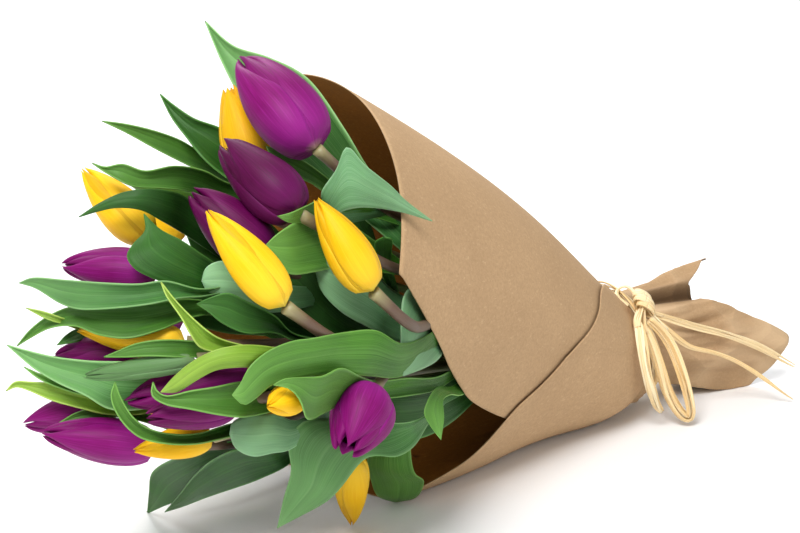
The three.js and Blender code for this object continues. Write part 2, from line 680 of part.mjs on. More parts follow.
function paperPoint(u, v) {
  const level = v < TIE_ROW
    ? -fromTable(TAIL_END, u) * (1 - v / TIE_ROW)
    : fromTable(RIM, u) * ((v - TIE_ROW) / (1 - TIE_ROW)) ** 1.5;
  const from = fromTable(INNER_EDGE, level);
  const to = 360 + fromTable(OUTER_EDGE, level);
  const angle = lerp(from, to, u);
  const layer = (PAPER_PITCH * (angle - from)) / 360;
  const lean = NECK_LEAN * Math.sin(degToRad(angle)) * Math.exp(-((level / LEAN_REACH) ** 2));
  const point = aroundCone([angle, level + lean, paperRadius(angle, level) + layer]);
  point.z = settled(point.z);
  return point;
}

const paperSolid = (grow = 0) => toSolid(sheetGeometry(paperPoint, 32, 16, PAPER_THICKNESS + 2 * grow));

// ---------------------------------------------------------------- blooms

function frameAlong(from, to) {
  const axis = to.clone().sub(from);
  const length = axis.length();
  axis.normalize();
  const side = TO_VIEWER.clone().cross(axis).normalize();
  return { from, axis, length, side, front: axis.clone().cross(side).negate() };
}

// Half the width of a tulip bloom at t of its height, as a share of the widest.
function bloomShape(t, open) {
  const shut = Math.sin(Math.PI * Math.min(t, 1) ** 0.62) ** 0.75;
  const spread = t * t * (3 - 2 * t);
  return lerp(Math.max(shut, 0.1 * t), 0.9, open * spread);
}

const PETAL_COLUMNS = 5; // of the bloom's surface, to each of its three outer petals
const BLOOM_ROWS = [0.04, 0.16, 0.38, 0.64, 0.86, 1];

// Where the surface of a bloom is: three outer petals lap over the three inner ones, whose ridges show
// between them. `turn` goes round the bloom from 0 to 1 and `t` from its base to the tips.
function bloomSurface(tulip, turn, t, grow = 0) {
  const open = tulip.open ?? 0;
  const across = Math.abs(((turn * 3) % 1) * 2 - 1); // 0 in the middle of an outer petal, 1 between two
  const outer = across < 0.75 ? 1 : 0;
  const narrowing = 1 - 0.22 * t ** 3;
  const layer = outer ? 1 - 0.07 * across ** 2 : 0.84 + 0.5 * (across - 0.75) * (1 - t);
  const radius = (tulip.width / 2) * bloomShape(t, open) * layer * (outer ? 1 : narrowing);
  const height = t * (outer ? 1 - 0.1 * across ** 2 : 0.93 - 0.2 * open);
  return { angle: turn * 2 * Math.PI + degToRad(tulip.spin), radius: radius + grow, height };
}

// A bloom: its petals round a cup that opens between their tips.
function bloomSolid(tulip, grow = 0) {
  const open = tulip.open ?? 0;
  const { from, axis, length, side, front } = frameAlong(inPhoto(tulip.base), inPhoto(tulip.tip));
  const point = ({ angle, radius, height }) => from.clone()
    .addScaledVector(axis, height * length)
    .addScaledVector(front, radius * Math.cos(angle))
    .addScaledVector(side, radius * Math.sin(angle));
  const rows = BLOOM_ROWS.length + 2;
  const cup = 0.82 - 0.5 * open; // how deep the hollow between the tips goes
  return toSolid(podGeometry((turn, t) => {
    const row = Math.round(t * rows);
    if (row === 0) return point({ angle: 0, radius: 0, height: 0 });
    if (row === rows) return point({ angle: 0, radius: 0, height: cup + grow / length });
    const inside = row > BLOOM_ROWS.length;
    const surface = bloomSurface(tulip, turn, BLOOM_ROWS[inside ? BLOOM_ROWS.length - 1 : row - 1], grow);
    if (!inside) return point(surface);
    return point({ ...surface, radius: surface.radius * 0.55, height: lerp(surface.height, cup, 0.45) });
  }, 3 * PETAL_COLUMNS, rows));
}

// ---------------------------------------------------------------- stems

// The stems stand in the neck as close as they pack, in a six-sided pattern round the axis.
function neckSlots(count) {
  const slots = [];
  for (let row = -4; row <= 4; row += 1) {
    for (let column = -4; column <= 4; column += 1) {
      slots.push([STEM_PITCH * (column + row / 2), (STEM_PITCH * row * Math.sqrt(3)) / 2]);
    }
  }
  const size = ([x, y]) => Math.round(Math.hypot(x, y) * 1000) + (Math.atan2(y, x) + Math.PI) / 7;
  return slots.sort((one, other) => size(one) - size(other)).slice(0, count);
}

const alongCone = (point) => point.clone().sub(TIE).dot(AXIS);

// Gives every stem the slot on its own side: slots are swapped as long as that brings them closer to where
// the stems are heading.
function assignSlots(bases) {
  const slots = neckSlots(bases.length);
  const headings = bases.map((base) => {
    const from = base.clone().sub(TIE);
    return [from.dot(NEAR) / alongCone(base), from.dot(OVER) / alongCone(base)];
  });
  const match = (slot, heading) => slot[0] * heading[0] + slot[1] * heading[1];
  for (let swapped = true; swapped;) {
    swapped = false;
    for (let i = 0; i < slots.length; i += 1) {
      for (let j = i + 1; j < slots.length; j += 1) {
        const kept = match(slots[i], headings[i]) + match(slots[j], headings[j]);
        const crossed = match(slots[j], headings[i]) + match(slots[i], headings[j]);
        if (crossed > kept + 1e-6) {
          [slots[i], slots[j]] = [slots[j], slots[i]];
          swapped = true;
        }
      }
    }
  }
  return slots;
}

const STEM_LEVEL = 36; // the stems are followed from level to level, this far apart along the axis
const STEM_CLEARANCE = 7.1; // between the middles of two stems

// A stem's way from its slot in the neck to its bloom: its place off the axis at every level, and its base.
function stemWay(tulip, [near, over]) {
  const base = inPhoto(tulip.base);
  const heading = inPhoto(tulip.tip).sub(base).normalize();
  const neck = TIE.clone().addScaledVector(NEAR, near).addScaledVector(OVER, over);
  const reach = neck.distanceTo(base);
  const last = base.clone().addScaledVector(heading, -2 * GAP);
  const bend = new THREE.CubicBezierCurve3(
    neck,
    neck.clone().addScaledVector(AXIS, reach * 0.25),
    base.clone().addScaledVector(heading, -reach * 0.16),
    last,
  );
  const samples = bend.getSpacedPoints(80);
  const levels = [];
  for (let along = 0; along < alongCone(last) - STEM_LEVEL * 0.4; along += STEM_LEVEL) {
    const from = samples.find((sample) => alongCone(sample) >= along - 1e-6).clone().sub(TIE);
    levels.push([from.dot(NEAR), from.dot(OVER)]);
  }
  return { tulip, levels, last, leaves: [] };
}

// Pulls a stem's place off the axis in, where the paper lies round it at this level.
function keepInPaper(place, along) {
  const angle = wrapAngle(THREE.MathUtils.radToDeg(Math.atan2(place[1], place[0])));
  const covered = angle > fromTable(INNER_EDGE, along) || angle < fromTable(OUTER_EDGE, along);
  const limit = paperRadius(angle, along) - PAPER_THICKNESS - STEM_RADIUS - 2;
  const radius = Math.hypot(...place);
  if (!covered || along > CONE_LENGTH - 10 || radius <= limit) return;
  place[0] *= limit / radius;
  place[1] *= limit / radius;
}

// Pushes stems that come too close apart, level by level, and evens out the bends that this makes.
function spreadStems(ways) {
  for (let round = 0; round < 80; round += 1) {
    for (const one of ways) {
      for (const other of ways) {
        if (one === other) continue;
        const shared = Math.min(one.levels.length, other.levels.length);
        for (let k = 1; k < shared; k += 1) {
          const away = [one.levels[k][0] - other.levels[k][0], one.levels[k][1] - other.levels[k][1]];
          const distance = Math.hypot(...away);
          if (distance >= STEM_CLEARANCE) continue;
          const push = (STEM_CLEARANCE - distance) / 4 / Math.max(distance, 0.1);
          for (const side of [0, 1]) {
            one.levels[k][side] += push * away[side];
            other.levels[k][side] -= push * away[side];
          }
        }
      }
    }
    for (const { levels } of ways) {
      for (let k = 1; k < levels.length; k += 1) {
        for (const side of [0, 1]) {
          const even = (levels[k - 1][side] + (levels[k + 1] ?? levels[k])[side]) / 2;
          if (k < levels.length - 1) levels[k][side] = lerp(levels[k][side], even, 0.08);
        }
        keepInPaper(levels[k], k * STEM_LEVEL);
      }
    }
  }
}

// The points that a stem runs through, from its cut end in the tail to the base of its bloom.
function stemPoints({ levels, last }) {
  const [near, over] = levels[0];
  const cutEnd = TIE.clone()
    .addScaledVector(TAIL_AXIS, STEM_END)
    .addScaledVector(NEAR, near * 0.85)
    .addScaledVector(vec(0, 0, 1), over * 0.85);
  const points = levels.map(([a, b], k) => TIE.clone()
    .addScaledVector(AXIS, k * STEM_LEVEL)
    .addScaledVector(NEAR, a)
    .addScaledVector(OVER, b));
  return [cutEnd, ...points, last];
}

// A round stem through the given points, with closed ends.
function stemSolid(points, grow = 0) {
  const sides = 5;
  const last = points.length - 1;
  const ring = (k, angle) => {
    const along = points[Math.min(k + 1, last)].clone().sub(points[Math.max(k - 1, 0)]).normalize();
    const side = along.clone().cross(OVER).normalize();
    const up = side.clone().cross(along);
    return points[k].clone()
      .addScaledVector(side, (STEM_RADIUS + grow) * Math.cos(angle))
      .addScaledVector(up, (STEM_RADIUS + grow) * Math.sin(angle));
  };
  return toSolid(podGeometry((turn, t) => {
    const row = Math.round(t * (points.length + 1));
    if (row === 0) return points[0].clone();
    if (row > points.length) return points[last].clone();
    return ring(row - 1, turn * 2 * Math.PI);
  }, sides, points.length + 1));
}

// ---------------------------------------------------------------- leaves

const LEAF_ROOT = 45; // how far back along the axis from its hidden end a leaf leaves its stem
const LEAVES_PER_STEM = 3;

function leafHeel(leaf) {
  return inPhoto(leaf.left[leaf.left.length - 1]).lerp(inPhoto(leaf.right[leaf.right.length - 1]), 0.5);
}

// The stem that passes closest behind the hidden end of a leaf, and the point on it where the leaf grows.
function findRoot(leaf, stems) {
  const heel = leafHeel(leaf);
  const level = Math.max(alongCone(heel) - LEAF_ROOT, 60);
  let best = null;
  for (const stem of stems) {
    if (stem.leaves.length >= LEAVES_PER_STEM) continue;
    const next = stem.points.findIndex((candidate, k) => k > 0 && alongCone(candidate) >= level);
    if (next < 0) continue;
    const before = stem.points[next - 1];
    const after = stem.points[next];
    const share = (level - alongCone(before)) / (alongCone(after) - alongCone(before));
    const point = before.clone().lerp(after, share);
    const distance = point.distanceTo(heel);
    if (!best || distance < best.distance) best = { stem, point, distance };
  }
  return best;
}

function leafSolid(leaf, root, grow = 0) {
  const tip = inPhoto(leaf.tip);
  const left = leaf.left.map(inPhoto).reverse();
  const right = leaf.right.map(inPhoto).reverse();
  const across = right[0].clone().sub(left[0]).normalize().multiplyScalar(2.2);
  const leftEdge = new THREE.CatmullRomCurve3([root.clone().sub(across), ...left, tip]);
  const rightEdge = new THREE.CatmullRomCurve3([root.clone().add(across), ...right, tip]);
  const at = (u, v) => {
    const from = leftEdge.getPointAt(v * 0.985);
    const to = rightEdge.getPointAt(v * 0.985);
    const middle = 4 * u * (1 - u) * Math.sin(Math.PI * v) ** 0.7;
    const ripple = (2 * u - 1) * Math.sin(v * 22 + leaf.tip[0]) * Math.sin(Math.PI * v);
    return from.lerp(to, u).addScaledVector(TO_VIEWER, leaf.belly * middle + leaf.wave * ripple);
  };
  return toSolid(sheetGeometry(at, left.length > 3 ? 3 : 2, left.length + 2, BLADE_THICKNESS + 2 * grow));
}

// ---------------------------------------------------------------- raffia

const BAND_WIDTH = 8;
const BAND_DEPTH = 2.6;
const BAND_RADIUS = NECK_RADIUS + 5.6; // of its inner side, round the paper
const BAND_FLARE = 3; // its inner side widens by this much with the paper, towards the flowers
const KNOT_HEIGHT = 4.4;
// The knot sits on the upper near side of the band, a little towards the flowers; as for aroundCone.
const KNOT_ANGLE = 45;
const KNOT = [
  KNOT_ANGLE,
  NECK_LEAN * Math.sin(degToRad(KNOT_ANGLE)) + 3,
  BAND_RADIUS + BAND_FLARE + BAND_DEPTH + KNOT_HEIGHT,
];

function bandSolid() {
  const profile = [
    [0, -0.5], [0.8, -0.5], [1, -0.2], [0.7, 0], [1, 0.2], [0.8, 0.5], [0, 0.5], [0, 0], [0, -0.5],
  ];
  const corners = profile.map(([depth, place]) => new THREE.Vector2(
    BAND_RADIUS + BAND_DEPTH * depth + BAND_FLARE * Math.max(2 * place, 0),
    BAND_WIDTH * place,
  ));
  const ring = new THREE.LatheGeometry(corners, 24);
  const across = NEAR.clone().cross(AXIS);
  ring.applyMatrix4(new THREE.Matrix4().makeShear(0, 0, 0, 0, 0, -NECK_LEAN / BAND_RADIUS));
  ring.applyMatrix4(new THREE.Matrix4().makeBasis(NEAR, AXIS, across).setPosition(TIE));
  return toSolid(ring);
}

// The knot: one wrap of raffia round the crossing of the band, a ring of bundles seen from outside.
function knotSolid() {
  const centre = aroundCone(KNOT);
  const out = centre.clone().sub(TIE).normalize();
  const side = AXIS.clone().cross(out).normalize();
  return toSolid(podGeometry((turn, t) => {
    const angle = turn * 2 * Math.PI;
    const swell = Math.sin(Math.PI * t) ** 0.6 * (1 + 0.12 * Math.cos(3 * angle + 9 * t));
    return centre.clone()
      .addScaledVector(side, 9 * (2 * t - 1))
      .addScaledVector(out, KNOT_HEIGHT * 0.9 * swell * Math.cos(angle))
      .addScaledVector(AXIS, 6.5 * swell * Math.sin(angle));
  }, 10, 8));
}

// The free raffia, by hand: two loops that hang from the knot to the surface, and two long ends.
const RAFFIA = [
  {
    name: 'raffia_loop_outer',
    route: [
      [643, 325, 38], [650, 340, 40], [660, 367, 38], [668, 393, 33], [682, 416, 28], [691, 421, 26],
      [690, 400, 30],
      [682, 370, 34], [671, 344, 36], [658, 327, 40], [649, 320, 42],
    ],
  },
  {
    name: 'raffia_loop_inner',
    route: [
      [637, 321, 43], [640, 334, 50], [644, 356, 53], [649, 382, 47], [655, 402, 37], [662, 412, 30],
    ],
  },
  {
    name: 'raffia_end_upper',
    route: [
      [652, 313, 27], [668, 318, 20], [698, 327, 8], [728, 335, -3], [759, 347, -18], [795, 366, -36],
    ],
  },
  {
    name: 'raffia_end_lower',
    route: [
      [654, 318, 36], [673, 334, 28], [690, 346, 19], [713, 352, 10], [736, 361, 3], [759, 375, -3],
      [780, 390, -6], [793, 400, -9],
    ],
  },
];

function raffiaSolid({ route }) {
  const curve = new THREE.CatmullRomCurve3(route.map(inPhoto));
  for (const point of curve.points) point.z = Math.max(point.z, RAFFIA_RADIUS + 0.2);
  const steps = Math.round(curve.getLength() / (2.5 * 2 * RAFFIA_RADIUS));
  return toSolid(tubeGeometry(curve, RAFFIA_RADIUS, 8, steps));
}

// ---------------------------------------------------------------- materials

const matte = (color, roughness) => new THREE.MeshStandardMaterial({ color, roughness, metalness: 0 });
const petalMaterial = (colour) => matte(colour, 0.45);
const leafMaterial = () => matte(0x4b8a3c, 0.5);
const paperMaterial = () => matte(0xb99670, 0.85);
const raffiaMaterial = () => matte(0xe6cc94, 0.7);

// ---------------------------------------------------------------- the bouquet

const group = new THREE.Group();

const paper = paperSolid();
const paperCutter = withGap(paperSolid);
group.add(toMesh('kraft_paper', paper, paperMaterial()));

const band = bandSolid();
group.add(toMesh('raffia_band', band, raffiaMaterial()));
group.add(toMesh('raffia_knot', knotSolid(), raffiaMaterial()));
for (const raffia of RAFFIA) group.add(toMesh(raffia.name, raffiaSolid(raffia), raffiaMaterial()));

const slots = assignSlots(TULIPS.map((tulip) => inPhoto(tulip.base)));
const stems = TULIPS.map((tulip, k) => stemWay(tulip, slots[k]));
spreadStems(stems);
const stemCutters = [];
for (const stem of stems) {
  stem.points = stemPoints(stem);
  stem.solid = cutClear(stemSolid(stem.points), [paperCutter, ...stemCutters]);
  stem.cutter = withGap((grow) => stemSolid(stem.points, grow));
  stemCutters.push(stem.cutter);
}

// Blooms, the nearest first. Each is cut clear of those before it.
const bloomCutters = [];
for (const stem of [...stems].sort((a, b) => b.tulip.base[2] - a.tulip.base[2])) {
  const bloom = cutClear(bloomSolid(stem.tulip), [paperCutter, ...stemCutters, ...bloomCutters]);
  bloomCutters.push(withGap((grow) => bloomSolid(stem.tulip, grow)));
  const name = stem.tulip.colour === GREEN ? stem.tulip.name : `${stem.tulip.name}_bloom`;
  group.add(toMesh(name, bloom, petalMaterial(stem.tulip.colour)));
}

// Leaves, the nearest first. Each grows from the closest stem, clear of all the other pieces.
const nearness = (leaf) => leaf.left[1][2];
const bladeCutters = [];
for (const leaf of [...LEAVES].sort((a, b) => nearness(b) - nearness(a))) {
  const { stem, point } = findRoot(leaf, stems);
  const others = stems.filter((other) => other !== stem).map((other) => other.cutter);
  const own = stem.solid;
  const before = bladeCutters.filter((cutter) => cutter.stem !== stem).map((cutter) => cutter.solid);
  let blade = leafSolid(leaf, point);
  for (const other of [paperCutter, ...bloomCutters, ...others, ...before]) {
    if (boxesMeet(blade, other)) blade = blade.subtract(other);
  }
  stem.solid = largestPiece(own.add(blade));
  stem.leaves.push(leaf);
  bladeCutters.push({ stem, solid: withGap((grow) => leafSolid(leaf, point, grow)) });
}
for (const stem of stems) group.add(toMesh(`${stem.tulip.name}_leafy_stem`, stem.solid, leafMaterial()));

// The origin is under the middle of the bouquet, without its free raffia.
const box = new THREE.Box3();
for (const mesh of group.children) {
  if (!RAFFIA.some(({ name }) => name === mesh.name)) box.expandByObject(mesh);
}
const middle = box.getCenter(vec(0, 0, 0));
for (const mesh of group.children) mesh.position.set(-middle.x, -middle.y, -box.min.z);

export default group;
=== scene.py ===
"""A bouquet of purple and yellow tulips in brown kraft paper, tied with raffia, lying on its side.

Shapes are worked out in millimetres round the centre of the tie, as the part's source does. They are set
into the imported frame, which is in metres, when a mesh is made.
"""

import math
import random

import bpy
import numpy as np
from mathutils import Matrix, Vector


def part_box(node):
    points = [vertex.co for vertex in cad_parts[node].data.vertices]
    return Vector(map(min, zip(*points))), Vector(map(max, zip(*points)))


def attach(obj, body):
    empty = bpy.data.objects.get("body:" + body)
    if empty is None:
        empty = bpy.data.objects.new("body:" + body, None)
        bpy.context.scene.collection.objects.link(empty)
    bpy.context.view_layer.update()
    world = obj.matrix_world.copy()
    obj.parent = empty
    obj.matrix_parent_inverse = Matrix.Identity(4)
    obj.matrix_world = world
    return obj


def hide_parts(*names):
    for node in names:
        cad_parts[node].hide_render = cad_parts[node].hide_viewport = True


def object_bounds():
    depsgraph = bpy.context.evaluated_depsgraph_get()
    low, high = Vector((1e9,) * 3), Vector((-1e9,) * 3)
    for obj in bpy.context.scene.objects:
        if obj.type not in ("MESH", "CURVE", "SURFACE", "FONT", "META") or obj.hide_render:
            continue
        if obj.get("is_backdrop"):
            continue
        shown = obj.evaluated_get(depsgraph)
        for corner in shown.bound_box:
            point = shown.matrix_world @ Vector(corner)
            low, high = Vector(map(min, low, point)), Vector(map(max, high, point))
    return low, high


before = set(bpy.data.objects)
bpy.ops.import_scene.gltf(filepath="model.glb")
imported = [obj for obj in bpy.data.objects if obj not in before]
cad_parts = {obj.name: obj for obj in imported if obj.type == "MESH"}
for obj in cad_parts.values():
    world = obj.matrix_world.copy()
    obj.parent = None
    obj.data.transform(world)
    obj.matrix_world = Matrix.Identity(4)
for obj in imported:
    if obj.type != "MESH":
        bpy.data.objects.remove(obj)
cad_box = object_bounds()
random.seed(11)

MM = 0.001

# ---------------------------------------------------------------- driving dimensions, as in the part

TIE_HEIGHT = 40  # centre of the tied neck above the surface
CONE_TILT = math.radians(16)  # the cone rises towards its mouth
TAIL_TILT = math.radians(3)  # the tail beyond the tie lies nearly level
CONE_LENGTH = 250  # from the tie to the mouth
MOUTH_RADIUS = 112
NECK_RADIUS = 23  # of the innermost layer of paper at the tie
NECK_LEAN = 18  # how far the tie's top leans towards the flowers, and its bottom away from them
LEAN_REACH = 75  # how far along the paper this lean carries
PAPER_THICKNESS = 1
PAPER_PITCH = 1.9  # what one turn of the paper adds to its radius
TIE_ROW = 0.34  # the share of the sheet's rows that lie in the tail
FLAT_BAND = 2  # how far above the surface the paper starts to flatten against it
STEM_RADIUS = 2.7
STEM_PITCH = 7.2  # between the stems in the neck
STEM_END = 45  # how far the cut ends reach beyond the tie
STEM_LEVEL = 36  # between the levels at which the stems are spread
STEM_CLEARANCE = 7.1  # between the middles of two stems
LEAF_ROOT = 45  # how far down from its hidden end a leaf joins its stem
LEAVES_PER_STEM = 3  # at most
GAP = 0.35  # kept between pieces that lie against each other
RAFFIA_RADIUS = 2.3  # of one bundle of fibres
BAND_WIDTH = 8
BAND_DEPTH = 2.6
BAND_RADIUS = NECK_RADIUS + 5.6
BAND_FLARE = 3  # how much wider the band is on the side of the flowers
KNOT_HEIGHT = 4.4
KNOT_ANGLE = 45
KNOT_ALONG = NECK_LEAN * math.sin(math.radians(KNOT_ANGLE)) + 3
KNOT_RADIUS = BAND_RADIUS + BAND_FLARE + BAND_DEPTH + KNOT_HEIGHT  # of its middle, off the axis


def vec(*numbers):
    return np.array(numbers, dtype=float)


TIE = vec(0, 0, TIE_HEIGHT)
AXIS = vec(-math.cos(CONE_TILT), 0, math.sin(CONE_TILT))  # from the tie to the mouth
TAIL_AXIS = vec(math.cos(TAIL_TILT), 0, -math.sin(TAIL_TILT))  # from the tie to the tail
OVER = vec(math.sin(CONE_TILT), 0, math.cos(CONE_TILT))  # across the cone, upwards
NEAR = vec(0, -1, 0)  # across the cone, towards the side that shows
UP = vec(0, 0, 1)

# The photograph's point of view. A flower or leaf that shows in it is placed by the pixel where it shows
# and by how many mm nearer than the tie it is: (column, row, nearer).
VIEW_AZIMUTH = math.radians(-34)
VIEW_ELEVATION = math.radians(17.5)
VIEW_DISTANCE = 1000
VIEW_FOCAL = 1700  # focal length, in pixels
VIEW_WIDTH = 800
VIEW_CENTRE = (400, 266.5)
VIEW_TIE = (622, 338)  # the pixel where the centre of the tie is
TO_VIEWER = vec(
    math.sin(VIEW_AZIMUTH) * math.cos(VIEW_ELEVATION),
    -math.cos(VIEW_AZIMUTH) * math.cos(VIEW_ELEVATION),
    math.sin(VIEW_ELEVATION),
)
VIEW_RIGHT = vec(math.cos(VIEW_AZIMUTH), math.sin(VIEW_AZIMUTH), 0)
VIEW_UP = np.cross(TO_VIEWER, VIEW_RIGHT)


def in_photo(place):
    """The point that shows at a pixel, that many mm nearer than the tie."""
    column, row, nearer = place
    depth = VIEW_DISTANCE - nearer
    right = (column - VIEW_CENTRE[0]) * depth - (VIEW_TIE[0] - VIEW_CENTRE[0]) * VIEW_DISTANCE
    up = (VIEW_TIE[1] - VIEW_CENTRE[1]) * VIEW_DISTANCE - (row - VIEW_CENTRE[1]) * depth
    return TIE + TO_VIEWER * nearer + (VIEW_RIGHT * right + VIEW_UP * up) / VIEW_FOCAL


def tulip(name, colour, tip, base, width, spin, open=0):
    """A bloom: spin is the turn of its petals, open how far their tips stand apart, from 0 to 1."""
    return {"name": name, "colour": colour, "tip": in_photo(tip), "base": in_photo(base),
            "width": width, "spin": spin, "open": open, "blunt": BLUNT[colour]}


def leaf(name, tip, belly, wave, left, right):
    """A leaf: belly and wave are how far its middle and edges stand out; left and right run from its tip."""
    return {"name": name, "tip": in_photo(tip), "belly": belly, "wave": wave, "phase": tip[0],
            "left": [in_photo(place) for place in left], "right": [in_photo(place) for place in right],
            "heel": (in_photo(left[-1]) + in_photo(right[-1])) / 2, "nearness": left[1][2]}


# ---------------------------------------------------------------- flowers and leaves

PURPLE = "purple"
YELLOW = "yellow"
GREEN = "green"
BLUNT = {PURPLE: 0.9, YELLOW: 0.35, GREEN: 1}  # how blunt the tips of the blooms are

TULIPS = [
    tulip("purple_top", PURPLE, tip=(238, 57, 214), base=(316, 148, 236), width=34, spin=20),
    tulip("yellow_top", YELLOW, tip=(229, 85, 202), base=(256, 168, 204), width=27, spin=50, open=0.4),
    tulip("purple_upper", PURPLE, tip=(223, 142, 246), base=(298, 213, 262), width=28, spin=80, open=0.3),
    tulip("purple_middle", PURPLE, tip=(190, 190, 252), base=(268, 260, 248), width=27, spin=10, open=0.2),
    tulip("yellow_middle", YELLOW, tip=(206, 209, 284), base=(285, 306, 287), width=21, spin=30),
    tulip("yellow_right", YELLOW, tip=(316, 198, 264), base=(373, 291, 264), width=21, spin=75),
    tulip("yellow_left", YELLOW, tip=(82, 168, 238), base=(150, 240, 244), width=21, spin=0),
    tulip("purple_left", PURPLE, tip=(62, 266, 256), base=(158, 272, 258), width=20, spin=40),
    tulip("purple_tip", PURPLE, tip=(52, 356, 256), base=(140, 352, 256), width=17, spin=15),
    tulip("yellow_behind", YELLOW, tip=(76, 330, 262), base=(185, 342, 272), width=16, spin=65),
    tulip("purple_low_left", PURPLE, tip=(24, 424, 244), base=(118, 402, 246), width=19, spin=90),
    tulip("purple_bottom", PURPLE, tip=(42, 433, 266), base=(157, 447, 258), width=21, spin=55),
    tulip("purple_front", PURPLE, tip=(124, 402, 279), base=(250, 373, 263), width=22, spin=25),
    tulip("purple_frill", PURPLE, tip=(146, 418, 294), base=(238, 402, 279), width=18, spin=70, open=0.3),
    tulip("yellow_bottom", YELLOW, tip=(133, 451, 276), base=(213, 436, 262), width=15, spin=5),
    tulip("yellow_small", YELLOW, tip=(267, 406, 298), base=(303, 394, 275), width=15, spin=45),
    tulip("purple_facing", PURPLE, tip=(345, 452, 272), base=(372, 392, 250), width=30, spin=60, open=0.35),
    tulip("yellow_hanging", YELLOW, tip=(352, 525, 146.5), base=(352, 456, 182), width=18, spin=35),
    tulip("green_bud", GREEN, tip=(83, 376, 286), base=(196, 360, 286), width=9.5, spin=85),
    tulip("purple_far_top", PURPLE, tip=(214, 186, 118), base=(262, 214, 100), width=28, spin=10),
    tulip("yellow_far", YELLOW, tip=(122, 212, 112), base=(188, 228, 98), width=24, spin=50),
    tulip("purple_far_low", PURPLE, tip=(108, 298, 106), base=(186, 316, 92), width=28, spin=80),
    tulip("yellow_under", YELLOW, tip=(128, 412, 140), base=(200, 404, 122), width=23, spin=30),
]

